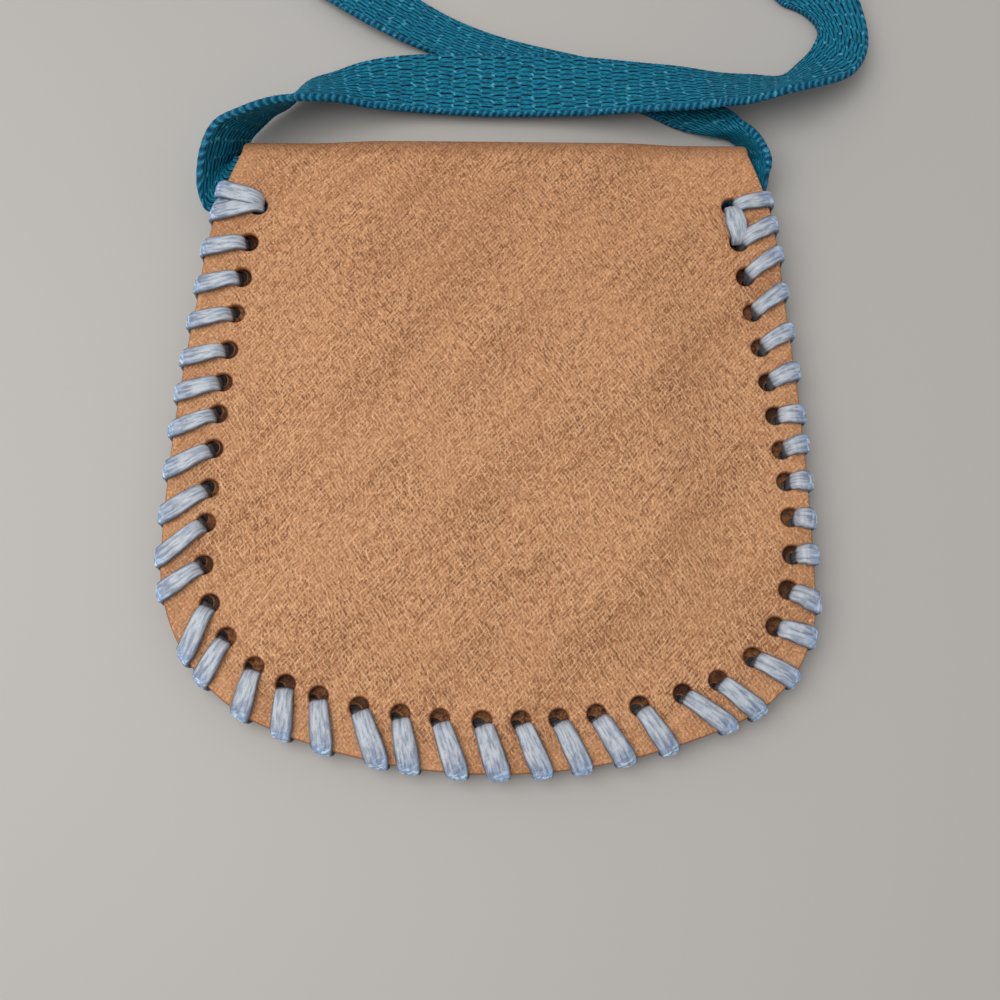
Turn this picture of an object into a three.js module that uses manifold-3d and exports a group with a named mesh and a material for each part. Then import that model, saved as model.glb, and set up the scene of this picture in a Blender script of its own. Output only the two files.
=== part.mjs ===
// A small leather purse with a fold-over flap, laced round its edge with satin cord and
// carried on a woven strap. It lies on its front, flap underneath, with the plain back up.
// Millimetres, +Z up, +Y towards the fold.
import * as THREE from 'three';
import { mergeVertices } from 'three/addons/utils/BufferGeometryUtils.js';
import Module from 'manifold-3d';

// Materials that everything else is stacked from.
const LEATHER = 1.6;
const WEBBING = 1.5;
const LACE_THICKNESS = 1.3;
const FIT_GAP = 0.3;

// Outline of the back and front panels, measured from the fold line and the middle.
const PANEL_HEIGHT = 135.5;
const BOTTOM_RADIUS = 118.7;
const LEFT = { fold: 57.1, widest: 67.6, widestDrop: 90.6, corner: 37, pull: 2.5 };
const RIGHT = { fold: 56.6, widest: 64.8, widestDrop: 96.9, corner: 26.8, pull: 3 };
const PULL_DROP = 18;
const PULL_POWER = 1.5;

// Fold at the top of the hide, and the flap that hangs from it.
const FOLD_RADIUS = 3.2;
const FOLD_TAPER = 0.035;
const FOLD_ROUND = 0.75;
const HINGE_HEIGHT = 4.4;
const FLAP_RADIUS = 3.8;
const FLAP_ROUND = 0.85;
const FLAP_HALF_WIDTH = 49.5;
const FLAP_LENGTH = 92;
const FLAP_CORNER = 27;
const FLAP_END_RADIUS = 105;

// Pocket: the mouth lies under the flap, and the panels part by this much inside.
const MOUTH_DROP = 12;
const POCKET_DEPTH = 4.9;
const PINCH = 15;
const SWELL = 17;

// Lacing holes, evenly spaced along a line that wanders as a hand-marked line does.
const HOLE_PITCH = 7.86;
const HOLE_DIAMETER = 4.1;
const FIRST_HOLE_DROP = 15.8;
const HOLE_INSET = 8.8;
const BOTTOM_RISE = 1.5;
const BOTTOM_RISE_AT = 0.5;
const BOTTOM_RISE_SPREAD = 0.1;
const RIGHT_DRIFT = 4.6;
const RIGHT_DRIFT_AT = 0.757;
const RIGHT_DRIFT_BELOW = 0.05;
const RIGHT_DRIFT_ABOVE = 0.13;

// Lace: flat on the faces, drawn narrow through a hole, leaning ahead to the edge.
const LACE_WIDTH = 4.4;
const LACE_EDGE_WIDTH = 4;
const LACE_HOLE_WIDTH = 2.6;
const LACE_FLAT = 0.6;
const LACE_TURN = 0.45;
const STRAND_START = 0.3;
const STRAND_END = 0.72;
const STITCH_LEAN = 3.6;
const START_LEAN = 4.6;
const END_LEAN = -3.2;
const END_STITCHES = 4;
const TAIL = 6;

// Strap: its width, the tongue held between the panels, and the loop it lies in.
const STRAP_WIDTH = 16;
const TONGUE_WIDTH = 12;
const TONGUE = 15.5;
const TAB_MARGIN = 3;
const TAB_RAMP = 14;
const LOOP_CENTRE = new THREE.Vector2(-34, 140.8);
const LOOP_RADIUS = 84;
const LOOP_TURN = 225;
const LOOP_POINTS = 10;
const STRAP_STEPS = 80;

// How finely curves are faceted.
const SIDE_STEPS = 60;
const TOP_STEPS = 12;
const FOLD_STEPS = 5;
const HOLE_SIDES = 10;
const EDGE_SAMPLES = 400;
const WELD = 1e-4;
const PANEL_RINGS = [1, 0.87, 0.75, 0.6, 0.4, 0.18];
const FLAP_RINGS = [1, 0.5];

// Heights of the stack where the two panels are laced together.
const FLAP_TOP = LEATHER;
const FRONT_UNDER = FLAP_TOP + FIT_GAP + LACE_THICKNESS + FIT_GAP;
const FRONT_REST = FLAP_TOP + FIT_GAP;
const SEAM_UNDER = FRONT_UNDER + LEATHER + FIT_GAP;
const TAB_MIDDLE = SEAM_UNDER + WEBBING / 2;
const TAB_LIFT = WEBBING + FIT_GAP;
const BACK_UNDER = FRONT_REST + LEATHER + POCKET_DEPTH;
const LACE_REACH = FIT_GAP + LACE_THICKNESS / 2;

const wasm = await Module();
wasm.setup();

const v2 = (x, y) => new THREE.Vector2(x, y);
const v3 = (x, y, z) => new THREE.Vector3(x, y, z);
const mix = THREE.MathUtils.lerp;

function ease(t) {
  return THREE.MathUtils.smoothstep(t, 0, 1);
}

function bell(t, below, above) {
  const spread = t < 0 ? below : above;
  return Math.exp(-((t / spread) ** 2));
}

// One side of the outline: a long arc that flares to the widest point, then a round corner
// that runs into the bottom arc.
function sideArcs(side, height, bottom) {
  const flare = side.widest - side.fold;
  const radius = (flare ** 2 + side.widestDrop ** 2) / (2 * flare);
  const cornerX = side.widest - side.corner;
  const bottomY = bottom - height;
  const cornerY = bottomY - Math.sqrt((bottom - side.corner) ** 2 - cornerX ** 2);
  const join = Math.atan2(cornerY - bottomY, cornerX);
  return { radius, centreX: side.widest - radius, cornerX, cornerY, bottomY, join };
}

// The open U of a panel's edge, from its top left, round the bottom, to its top right.
function panelEdge(topY) {
  const left = sideArcs(LEFT, PANEL_HEIGHT, BOTTOM_RADIUS);
  const right = sideArcs(RIGHT, PANEL_HEIGHT, BOTTOM_RADIUS);
  const startLeft = Math.asin((topY + LEFT.widestDrop) / left.radius);
  const startRight = Math.asin((topY + RIGHT.widestDrop) / right.radius);
  const edge = new THREE.Path();
  edge.absarc(-left.centreX, -LEFT.widestDrop, left.radius, Math.PI - startLeft, Math.PI);
  edge.absarc(-left.cornerX, left.cornerY, LEFT.corner, Math.PI, Math.PI - left.join);
  edge.absarc(0, left.bottomY, BOTTOM_RADIUS, Math.PI - left.join, 2 * Math.PI + right.join);
  edge.absarc(right.cornerX, right.cornerY, RIGHT.corner, 2 * Math.PI + right.join, 2 * Math.PI);
  edge.absarc(right.centreX, -RIGHT.widestDrop, right.radius, 0, startRight);
  return edge;
}

const seamEdge = panelEdge(0).getSpacedPoints(EDGE_SAMPLES);

// Distance from a point to the laced edge.
function seamDistance(x, y) {
  let nearest = Infinity;
  for (const p of seamEdge) {
    nearest = Math.min(nearest, (p.x - x) ** 2 + (p.y - y) ** 2);
  }
  return Math.sqrt(nearest);
}

// Below the end of the flap nothing holds the purse up, and it settles on the surface.
function settle(y) {
  return (FLAP_TOP - FIT_GAP) * ease((-FLAP_LENGTH - y) / (PANEL_HEIGHT - FLAP_LENGTH));
}

function swell(x, y) {
  return ease((seamDistance(x, y) - PINCH) / SWELL);
}

function frontUnder(x, y) {
  return mix(FRONT_UNDER, FRONT_REST, swell(x, y)) - settle(y);
}

function backTop(x, y) {
  const tabFoot = FIRST_HOLE_DROP + TONGUE_WIDTH / 2 + TAB_MARGIN;
  const tabs = TAB_LIFT * ease((y + tabFoot + TAB_RAMP) / TAB_RAMP);
  return mix(SEAM_UNDER + tabs, BACK_UNDER, swell(x, y)) + LEATHER - settle(y);
}

// A flat cut of leather as points and triangles: rings that shrink from its edge to its middle.
function ringMesh(edge, centre, rings) {
  const count = edge.length;
  const points = rings.flatMap((share) => edge.map((p) => centre.clone().lerp(p, share)));
  const triangles = [];
  for (let ring = 0; ring + 1 < rings.length; ring += 1) {
    for (let i = 0; i < count; i += 1) {
      const j = (i + 1) % count;
      const a = ring * count;
      const b = a + count;
      triangles.push([a + i, a + j, b + j], [a + i, b + j, b + i]);
    }
  }
  const last = (rings.length - 1) * count;
  points.push(centre.clone());
  for (let i = 0; i < count; i += 1) {
    triangles.push([last + i, last + ((i + 1) % count), points.length - 1]);
  }
  return { points, triangles };
}

// Adds rows past the straight top edge, which later wrap round the fold. A row's height is
// its share of the fold, kept beside each point.
function addFold(mesh, topRow, taper) {
  mesh.fold = mesh.points.map(() => 0);
  let previous = topRow;
  for (let step = 1; step <= FOLD_STEPS; step += 1) {
    const share = step / FOLD_STEPS;
    const row = topRow.map((index) => {
      const p = mesh.points[index];
      mesh.points.push(v2(p.x * (1 - taper * share * share), p.y));
      mesh.fold.push(share);
      return mesh.points.length - 1;
    });
    for (let j = 0; j + 1 < row.length; j += 1) {
      mesh.triangles.push([previous[j], row[j], row[j + 1]], [previous[j], row[j + 1], previous[j + 1]]);
    }
    previous = row;
  }
  return mesh;
}

function geometryOf(vertices, triangles) {
  const geometry = new THREE.BufferGeometry();
  geometry.setAttribute('position', new THREE.Float32BufferAttribute(vertices.flatMap((p) => p.toArray()), 3));
  geometry.setIndex(triangles.flat());
  return geometry;
}

// Closes a cut of leather into a solid: an upper face, a lower face and a wall round the rim.
function sheetSolid(mesh, upper, lower) {
  const count = mesh.points.length;
  const vertices = mesh.points.map((p, i) => upper(p, mesh.fold[i]));
  vertices.push(...mesh.points.map((p, i) => lower(p, mesh.fold[i])));
  const triangles = [];
  const rim = new Map();
  for (const [a, b, c] of mesh.triangles) {
    triangles.push([a, b, c], [c + count, b + count, a + count]);
    for (const [from, to] of [[a, b], [b, c], [c, a]]) {
      if (!rim.delete(`${to}_${from}`)) {
        rim.set(`${from}_${to}`, [from, to]);
      }
    }
  }
  for (const [from, to] of rim.values()) {
    triangles.push([from, from + count, to + count], [from, to + count, to]);
  }
  return geometryOf(vertices, triangles);
}

// The top corners are drawn in from the flaring arcs, more and more towards the fold.
function drawnIn(p) {
  const rise = Math.max(0, 1 + p.y / PULL_DROP) ** PULL_POWER;
  return v2(p.x > 0 ? p.x - RIGHT.pull * rise : p.x + LEFT.pull * rise, p.y);
}

// The closed outline of a panel: its U edge, then back along the top from right to left.
function panelMesh(topY) {
  const edge = panelEdge(topY).getSpacedPoints(SIDE_STEPS).map(drawnIn);
  const right = edge[SIDE_STEPS];
  const left = edge[0];
  for (let i = 1; i < TOP_STEPS; i += 1) {
    edge.push(right.clone().lerp(left, i / TOP_STEPS));
  }
  const topRow = Array.from({ length: TOP_STEPS }, (_, i) => SIDE_STEPS + i).concat(0);
  return { ...ringMesh(edge, v2(0, (topY - PANEL_HEIGHT) / 2), PANEL_RINGS), topRow };
}

function toSolid(geometry) {
  const bare = geometry.clone();
  bare.deleteAttribute('normal');
  bare.deleteAttribute('uv');
  const merged = mergeVertices(bare, WELD);
  return new wasm.Manifold(new wasm.Mesh({
    numProp: 3,
    vertProperties: new Float32Array(merged.attributes.position.array),
    triVerts: new Uint32Array(merged.index.array),
  }));
}

function toGeometry(solid) {
  const mesh = solid.getMesh();
  const geometry = new THREE.BufferGeometry();
  geometry.setAttribute('position', new THREE.Float32BufferAttribute(mesh.vertProperties, 3));
  geometry.setIndex(new THREE.Uint32BufferAttribute(mesh.triVerts, 1));
  return geometry;
}

// Hole line: the laced edge moved inwards, rising along the bottom and drifting out low on
// the right, then divided evenly.
function holeCentres() {
  const line = [];
  const last = seamEdge.length - 1;
  for (let i = 1; i < last; i += 1) {
    const along = seamEdge[i + 1].clone().sub(seamEdge[i - 1]).normalize();
    const share = i / last;
    const rise = BOTTOM_RISE * bell(share - BOTTOM_RISE_AT, BOTTOM_RISE_SPREAD, BOTTOM_RISE_SPREAD);
    const drift = RIGHT_DRIFT * bell(share - RIGHT_DRIFT_AT, RIGHT_DRIFT_BELOW, RIGHT_DRIFT_ABOVE);
    const inset = HOLE_INSET + rise - drift;
    line.push(v3(seamEdge[i].x - along.y * inset, seamEdge[i].y + along.x * inset, 0));
  }
  const held = line.filter((p) => p.y <= -FIRST_HOLE_DROP);
  const curve = new THREE.CatmullRomCurve3(held);
  const steps = Math.round(curve.getLength() / HOLE_PITCH);
  return curve.getSpacedPoints(steps).map((p) => v2(p.x, p.y));
}

const holes = holeCentres();

function holePunch(p) {
  const reach = BACK_UNDER + TAB_LIFT + LEATHER + FIT_GAP;
  const punch = new THREE.CylinderGeometry(HOLE_DIAMETER / 2, HOLE_DIAMETER / 2, 2 * reach, HOLE_SIDES);
  punch.rotateX(Math.PI / 2);
  punch.translate(p.x, p.y, 0);
  return toSolid(punch);
}

function punched(geometry, centres) {
  const solid = centres.reduce((rest, p) => rest.subtract(holePunch(p)), toSolid(geometry));
  return toGeometry(solid);
}

// Back of the purse: the panel and the upper half of the fold.
function backPanel() {
  const mesh = panelMesh(-FOLD_RADIUS);
  addFold(mesh, mesh.topRow, FOLD_TAPER);
  const face = (inside) => (p, share) => {
    const top = backTop(p.x, p.y);
    if (share === 0) {
      return v3(p.x, p.y, top - inside);
    }
    const turn = Math.min(share / FOLD_ROUND, 1) * Math.PI / 2;
    const radius = FOLD_RADIUS - inside;
    const y = -FOLD_RADIUS + radius * Math.sin(turn);
    const z = top - FOLD_RADIUS + radius * Math.cos(turn);
    const drop = Math.max(0, (share - FOLD_ROUND) / (1 - FOLD_ROUND));
    return v3(p.x, y, mix(z, HINGE_HEIGHT + FIT_GAP / 2, drop));
  };
  return punched(sheetSolid(mesh, face(0), face(LEATHER)), holes);
}

// Front of the purse: the same outline, cut short below the fold for the mouth.
function frontPanel() {
  const mesh = panelMesh(-MOUTH_DROP);
  mesh.fold = mesh.points.map(() => 0);
  const upper = (p) => v3(p.x, p.y, frontUnder(p.x, p.y) + LEATHER);
  const lower = (p) => v3(p.x, p.y, frontUnder(p.x, p.y));
  return punched(sheetSolid(mesh, upper, lower), holes);
}

// Flap: the lower half of the fold and the flat tongue of hide under the purse.
function flapPiece() {
  const endY = FLAP_END_RADIUS - FLAP_LENGTH;
  const cornerX = FLAP_HALF_WIDTH - FLAP_CORNER;
  const cornerY = endY - Math.sqrt((FLAP_END_RADIUS - FLAP_CORNER) ** 2 - cornerX ** 2);
  const join = Math.atan2(cornerY - endY, cornerX);
  const path = new THREE.Path();
  path.moveTo(-FLAP_HALF_WIDTH, -FLAP_RADIUS);
  path.absarc(-cornerX, cornerY, FLAP_CORNER, Math.PI, Math.PI - join);
  path.absarc(0, endY, FLAP_END_RADIUS, Math.PI - join, 2 * Math.PI + join);
  path.absarc(cornerX, cornerY, FLAP_CORNER, 2 * Math.PI + join, 2 * Math.PI);
  path.lineTo(FLAP_HALF_WIDTH, -FLAP_RADIUS);
  const edge = path.getSpacedPoints(SIDE_STEPS);
  for (let i = 1; i < TOP_STEPS; i += 1) {
    edge.push(edge[SIDE_STEPS].clone().lerp(edge[0], i / TOP_STEPS));
  }
  const topRow = Array.from({ length: TOP_STEPS }, (_, i) => SIDE_STEPS + i).concat(0);
  const mesh = addFold(ringMesh(edge, v2(0, -FLAP_LENGTH / 2), FLAP_RINGS), topRow, 0);
  const face = (outside) => (p, share) => {
    if (share === 0) {
      return v3(p.x, p.y, LEATHER - outside);
    }
    const turn = Math.min(share / FLAP_ROUND, 1) * Math.PI / 2;
    const radius = FLAP_RADIUS - LEATHER + outside;
    const y = -FLAP_RADIUS + radius * Math.sin(turn);
    const z = FLAP_RADIUS - radius * Math.cos(turn);
    const rise = Math.max(0, (share - FLAP_ROUND) / (1 - FLAP_ROUND));
    return v3(p.x, y, mix(z, HINGE_HEIGHT - FIT_GAP / 2, rise));
  };
  return sheetSolid(mesh, face(0), face(LEATHER));
}

// A ribbon swept through stations, each with a place, a width axis, a thickness axis, a half
// width and a half thickness. Sections are six-sided and flat.
function ribbon(stations, corners) {
  const vertices = [];
  const triangles = [];
  const sides = corners.length;
  for (const s of stations) {
    for (const [across, up] of corners) {
      const offset = s.width.clone().multiplyScalar(across * s.halfWidth);
      vertices.push(s.place.clone().add(offset).addScaledVector(s.up, up * s.halfThickness));
    }
  }
  for (let ring = 0; ring + 1 < stations.length; ring += 1) {
    for (let i = 0; i < sides; i += 1) {
      const j = (i + 1) % sides;
      const a = ring * sides;
      const b = a + sides;
      triangles.push([a + i, b + j, a + j], [a + i, b + i, b + j]);
    }
  }
  const end = (stations.length - 1) * sides;
  for (let i = 1; i + 1 < sides; i += 1) {
    triangles.push([0, i, i + 1], [end, end + i + 1, end + i]);
  }
  return geometryOf(vertices, triangles);
}

// Nearest point of the laced edge to a hole, moved along the edge, with the outward direction.
function edgeStitch(hole, lean) {
  let nearest = 0;
  seamEdge.forEach((p, i) => {
    if (p.distanceToSquared(hole) < seamEdge[nearest].distanceToSquared(hole)) {
      nearest = i;
    }
  });
  const spacing = seamEdge[1].distanceTo(seamEdge[0]);
  const at = THREE.MathUtils.clamp(nearest + Math.round(lean / spacing), 1, seamEdge.length - 2);
  const along = seamEdge[at + 1].clone().sub(seamEdge[at - 1]).normalize();
  return { edge: seamEdge[at], along, out: v2(along.y, -along.x) };
}

// How far each stitch leans ahead of its hole: short stitches lean less, and the first and
// last ones keep clear of the strap.
function stitchLean(index) {
  if (index === 0) {
    return START_LEAN;
  }
  const toEdge = edgeStitch(holes[index], 0).edge.distanceTo(holes[index]);
  const usual = STITCH_LEAN * (toEdge / HOLE_INSET) ** 2;
  return mix(usual, END_LEAN, ease((index - (holes.length - 1 - END_STITCHES)) / END_STITCHES));
}

// One lace, whipped round the seam from the top left to the top right: up through a hole,
// over the back to the edge, round it and under the front to the next hole.
function edgeLace() {
  const stations = [];
  const put = (p, z, side, out, lift, width) => {
    const axis = v3(side.x * out, side.y * out, lift).normalize();
    stations.push({
      place: v3(p.x, p.y, z),
      up: axis,
      halfWidth: width / 2,
      halfThickness: LACE_THICKNESS / 2,
    });
  };
  const first = holes[0];
  const inward = v2(0, -PANEL_HEIGHT / 2).sub(first).normalize();
  const tail = first.clone().addScaledVector(inward, TAIL);
  const bend = LACE_THICKNESS * LACE_TURN;
  const above = (p, along) => LACE_REACH + Math.max(...[-1, 0, 1].map((share) => {
    const q = p.clone().addScaledVector(along, share * LACE_WIDTH);
    return backTop(q.x, q.y);
  }));
  const under = (p) => frontUnder(p.x, p.y) - LACE_REACH;
  put(tail, under(tail), inward, 0, -1, LACE_WIDTH);
  put(tail.clone().lerp(first, STRAND_END), under(first), inward, 0, -1, LACE_WIDTH);
  put(first.clone().addScaledVector(inward, bend), under(first) + bend / 2, inward, -1, -1, LACE_HOLE_WIDTH);
  holes.forEach((hole, i) => {
    const { edge, along, out } = edgeStitch(hole, stitchLean(i));
    const side = edge.clone().sub(hole).normalize();
    const rim = edge.clone().addScaledVector(out, LACE_REACH);
    const turn = rim.clone().addScaledVector(out, FIT_GAP - bend);
    const top = backTop(hole.x, hole.y);
    const edgeTop = backTop(edge.x, edge.y);
    const edgeUnder = frontUnder(edge.x, edge.y);
    put(hole, frontUnder(hole.x, hole.y) + FIT_GAP, side, -1, 0, LACE_HOLE_WIDTH);
    put(hole, top - FIT_GAP, side, -1, 0, LACE_HOLE_WIDTH);
    put(hole.clone().addScaledVector(side, bend), top + LACE_REACH - bend / 2, side, -1, 1, LACE_HOLE_WIDTH);
    for (const share of [STRAND_START, STRAND_END]) {
      const p = hole.clone().lerp(rim, share);
      put(p, above(p, along), side, 0, 1, LACE_WIDTH);
    }
    put(turn, above(edge, along), out, 1, 1, LACE_EDGE_WIDTH);
    put(rim, edgeTop - FIT_GAP, out, 1, 0, LACE_EDGE_WIDTH);
    put(rim, edgeUnder + FIT_GAP, out, 1, 0, LACE_EDGE_WIDTH);
    const next = holes[i + 1] ?? hole.clone().addScaledVector(side, -TAIL);
    const back = rim.clone().sub(next).normalize();
    put(turn, edgeUnder - LACE_REACH - FIT_GAP / 2, out, 1, -1, LACE_EDGE_WIDTH);
    for (const share of [STRAND_START, STRAND_END]) {
      const p = rim.clone().lerp(next, share);
      put(p, mix(edgeUnder, frontUnder(next.x, next.y), share) - LACE_REACH, back, 0, -1, LACE_WIDTH);
    }
    if (holes[i + 1]) {
      put(next.clone().addScaledVector(back, bend), under(next) + bend / 2, back, -1, -1, LACE_HOLE_WIDTH);
    }
  });
  const flat = LACE_FLAT;
  return ribbon(framed(stations), [[1, 0], [flat, 1], [-flat, 1], [-1, 0], [-flat, -1], [flat, -1]]);
}

// Gives each station its missing axes, from the path through its neighbours.
function framed(stations) {
  const last = stations.length - 1;
  return stations.map((s, i) => {
    const along = stations[Math.min(i + 1, last)].place.clone().sub(stations[Math.max(i - 1, 0)].place).normalize();
    const width = s.width ?? along.clone().cross(s.up).normalize();
    const up = width.clone().cross(along).normalize();
    return { ...s, width, up };
  });
}

// Strap: the middle of the webbing at each point of its lie, and the way its marked selvedge
// points from there. It starts between the panels at the left, stands on edge round the left
// corner, falls flat across itself, turns back at the right and lies in one open loop.
const TONGUE_TILT = v3(0.366, 0.93, 0);
const LEFT_SEAM = v2(-57.8, -9.5);
const RIGHT_SEAM = v2(57.2, -7);
const GATHERED_WIDTH = 8.4;
const NEAR_POINTS = [
  [-60.4, -9.9, 6.2, -0.38, -0.925, 0.02, 7.2],
  [-61.3, -6.6, 5.8, -0.43, -0.8, 0.4],
  [-60.8, -3.9, 6.1, -0.46, -0.62, 0.63],
  [-60, -1.4, 7.3, -0.46, -0.54, 0.71],
  [-58.2, 2, 8.4, -0.35, -0.39, 0.85],
  [-54.6, 5.1, 8.6, -0.22, -0.42, 0.88],
  [-51.6, 7.1, 8.6, -0.12, -0.46, 0.88],
  [-47.4, 9.4, 8.1, 0.01, -0.5, 0.87],
  [-42.6, 12.5, 7.3, 0.11, -0.69, 0.72],
  [-37, 14.6, 5.6, 0.2, -0.78, 0.6],
  [-30.9, 16.1, 4.2, 0.2, -0.9, 0.38],
  [-22.3, 17.3, 3.1, 0.1, -0.98, 0.18],
  [-11, 17.4, 2.9, 0, -1, 0.05],
  [0.4, 17.1, 3.1, 0, -1, 0],
  [11.8, 16.8, 3.5, 0, -1, 0.05],
  [23, 16, 4.5, 0, -0.98, 0.17],
  [34.2, 14.9, 6.1, 0.02, -0.94, 0.34],
  [43.3, 14.1, 7.1, 0.1, -0.89, 0.44],
  [50.9, 13.9, 7, -0.06, -0.82, 0.57],
  [57.7, 14.4, 6.6, -0.18, -0.77, 0.62],
  [63.7, 15.2, 6.8, -0.18, -0.68, 0.71],
  [67.8, 17.3, 6.5, -0.08, -0.74, 0.67],
  [72, 20.1, 5.7, 0.06, -0.82, 0.57],
  [75.4, 22.9, 4.9, 0.27, -0.85, 0.46],
  [77.8, 26.4, 4, 0.45, -0.82, 0.36],
  [78.4, 31.2, 3.2, 0.73, -0.64, 0.24],
  [77, 36.4, 2.6, 0.93, -0.3, 0.2],
  [74, 42.2, 2.6, 0.93, 0.25, 0.22],
  [69.4, 48.2, 2.8, 0.78, 0.58, 0.22],
  [61.5, 57.5, 3.8, 0.74, 0.56, 0.36],
  [55, 72, 7, 0.62, 0.2, 0.76],
  [51, 92, 8.7, 0.2, 0.02, 0.98],
  [49.6, 116, 8.9, 0, 0, 1],
];
const RETURN_POINTS = [
  [-77.5, 70.4, 8.4, 0.15, 0.3, 0.94],
  [-61.5, 61.4, 7.2, 0.3, 0.55, 0.78, 7.8],
  [-46, 52, 4.9, 0.36, 0.8, 0.44, 7.6],
  [-31.6, 41.5, 2.8, 0.32, 0.92, -0.1, 7.1],
  [-21.6, 35.1, 2.1, 0.37, 0.91, -0.15, 6.3],
  [-13.8, 31.3, 1.3, 0.41, 0.91, -0.03, 5.2],
  [-3.2, 27.1, 1.2, 0.3, 0.95, 0, 4.6],
  [7.3, 23.9, 1.2, 0.2, 0.98, 0, 4.6],
  [19.7, 20.6, 1.2, 0.2, 0.98, 0, 4.8],
  [29.5, 17.6, 1.2, 0.4, 0.91, 0.02, 4.6],
  [37.2, 14.6, 1.4, 0.7, 0.7, 0.08, 4.9],
  [45.6, 9.5, 2.6, 0.94, 0.23, 0.26, 6.3],
  [50.3, 6.1, 4.1, 0.8, 0, 0.59, 5.1],
  [54.6, 3.2, 5.3, 0.43, -0.41, 0.81, 5.2],
  [56.8, -0.5, 5.9, 0.33, -0.45, 0.83, 5.1],
  [57.6, -3.5, 6.4, 0.4, -0.54, 0.75, 4.3],
  [57.5, -5.7, 6.7, 0.48, -0.79, 0.38, 3.1],
];

function strapPoint([x, y, z, across, along, rise, halfWidth]) {
  return { place: v3(x, y, z), width: v3(across, along, rise).normalize(), halfWidth };
}

// The flat tongue of the strap held in a top corner, given the side it enters from and its width.
function tonguePoints(seam, side, across) {
  const width = v3(side * TONGUE_TILT.x, -TONGUE_TILT.y, 0).normalize();
  const inward = v3(-side * TONGUE_TILT.y, -TONGUE_TILT.x, 0).normalize();
  return [TONGUE, TONGUE / 2, 0].map((reach) => ({
    place: v3(seam.x, seam.y, TAB_MIDDLE).addScaledVector(inward, reach),
    width,
    halfWidth: across / 2,
  }));
}

function loopPoints() {
  return Array.from({ length: LOOP_POINTS }, (_, i) => {
    const turn = THREE.MathUtils.degToRad(LOOP_TURN) * i / (LOOP_POINTS - 1);
    const x = LOOP_CENTRE.x + LOOP_RADIUS * Math.cos(turn);
    const y = LOOP_CENTRE.y + LOOP_RADIUS * Math.sin(turn);
    return { place: v3(x, y, STRAP_WIDTH / 2 + FIT_GAP), width: v3(0, 0, 1) };
  });
}

// Lifts a station of the strap until its lowest corner rests on the surface.
function rested(s) {
  const reach = Math.abs(s.width.z) * s.halfWidth + Math.abs(s.up.z) * s.halfThickness;
  return { ...s, place: s.place.clone().setZ(Math.max(s.place.z, reach)) };
}

function strapPiece() {
  const points = [
    ...tonguePoints(LEFT_SEAM, -1, TONGUE_WIDTH),
    ...NEAR_POINTS.map(strapPoint),
    ...loopPoints(),
    ...RETURN_POINTS.map(strapPoint),
    ...tonguePoints(RIGHT_SEAM, 1, GATHERED_WIDTH).reverse(),
  ];
  const selvedge = (sign) => new THREE.CatmullRomCurve3(
    points.map((p) => p.place.clone().addScaledVector(p.width, sign * (p.halfWidth ?? STRAP_WIDTH / 2))),
  );
  const marked = selvedge(1);
  const plain = selvedge(-1);
  const stations = Array.from({ length: STRAP_STEPS + 1 }, (_, i) => {
    const a = marked.getPoint(i / STRAP_STEPS);
    const b = plain.getPoint(i / STRAP_STEPS);
    return {
      place: a.clone().add(b).multiplyScalar(0.5),
      width: a.clone().sub(b).normalize(),
      halfWidth: a.distanceTo(b) / 2,
      halfThickness: WEBBING / 2,
    };
  });
  const square = [[1, 1], [-1, 1], [-1, -1], [1, -1]];
  return punched(ribbon(framed(stations).map(rested), square), [holes[0], holes[holes.length - 1]]);
}

const tan = new THREE.MeshStandardMaterial({ color: 0xbf8d68, roughness: 0.7, metalness: 0 });
const satin = new THREE.MeshStandardMaterial({ color: 0xa9c0d6, roughness: 0.4, metalness: 0 });
const teal = new THREE.MeshStandardMaterial({ color: 0x14708c, roughness: 0.75, metalness: 0 });

const pieces = [
  ['back_panel', backPanel(), tan],
  ['front_panel', frontPanel(), tan],
  ['flap', flapPiece(), tan],
  ['edge_lace', edgeLace(), satin],
  ['strap', strapPiece(), teal],
];

// The origin is under the middle of the purse, on the surface it lies on.
const purse = new THREE.Group();
const box = new THREE.Box3();
for (const [name, geometry, material] of pieces) {
  geometry.computeBoundingBox();
  geometry.computeVertexNormals();
  const mesh = new THREE.Mesh(geometry, material);
  mesh.name = name;
  purse.add(mesh);
  if (name !== 'strap') {
    box.union(geometry.boundingBox);
  }
}
const middle = box.getCenter(v3(0, 0, 0));
for (const mesh of purse.children) {
  mesh.position.set(-middle.x, -middle.y, -box.min.z);
}

export default purse;
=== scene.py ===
# %% [markdown]
# # A small laced leather purse
# The purse lies on its front, with its flap folded underneath and its woven strap looped
# above it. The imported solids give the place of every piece. Each one is now worked again as
# a fine surface: the strap with its weave, the hide with its punched holes and rounded
# edges, the front panel, and the satin lace that holds the two together.

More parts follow.
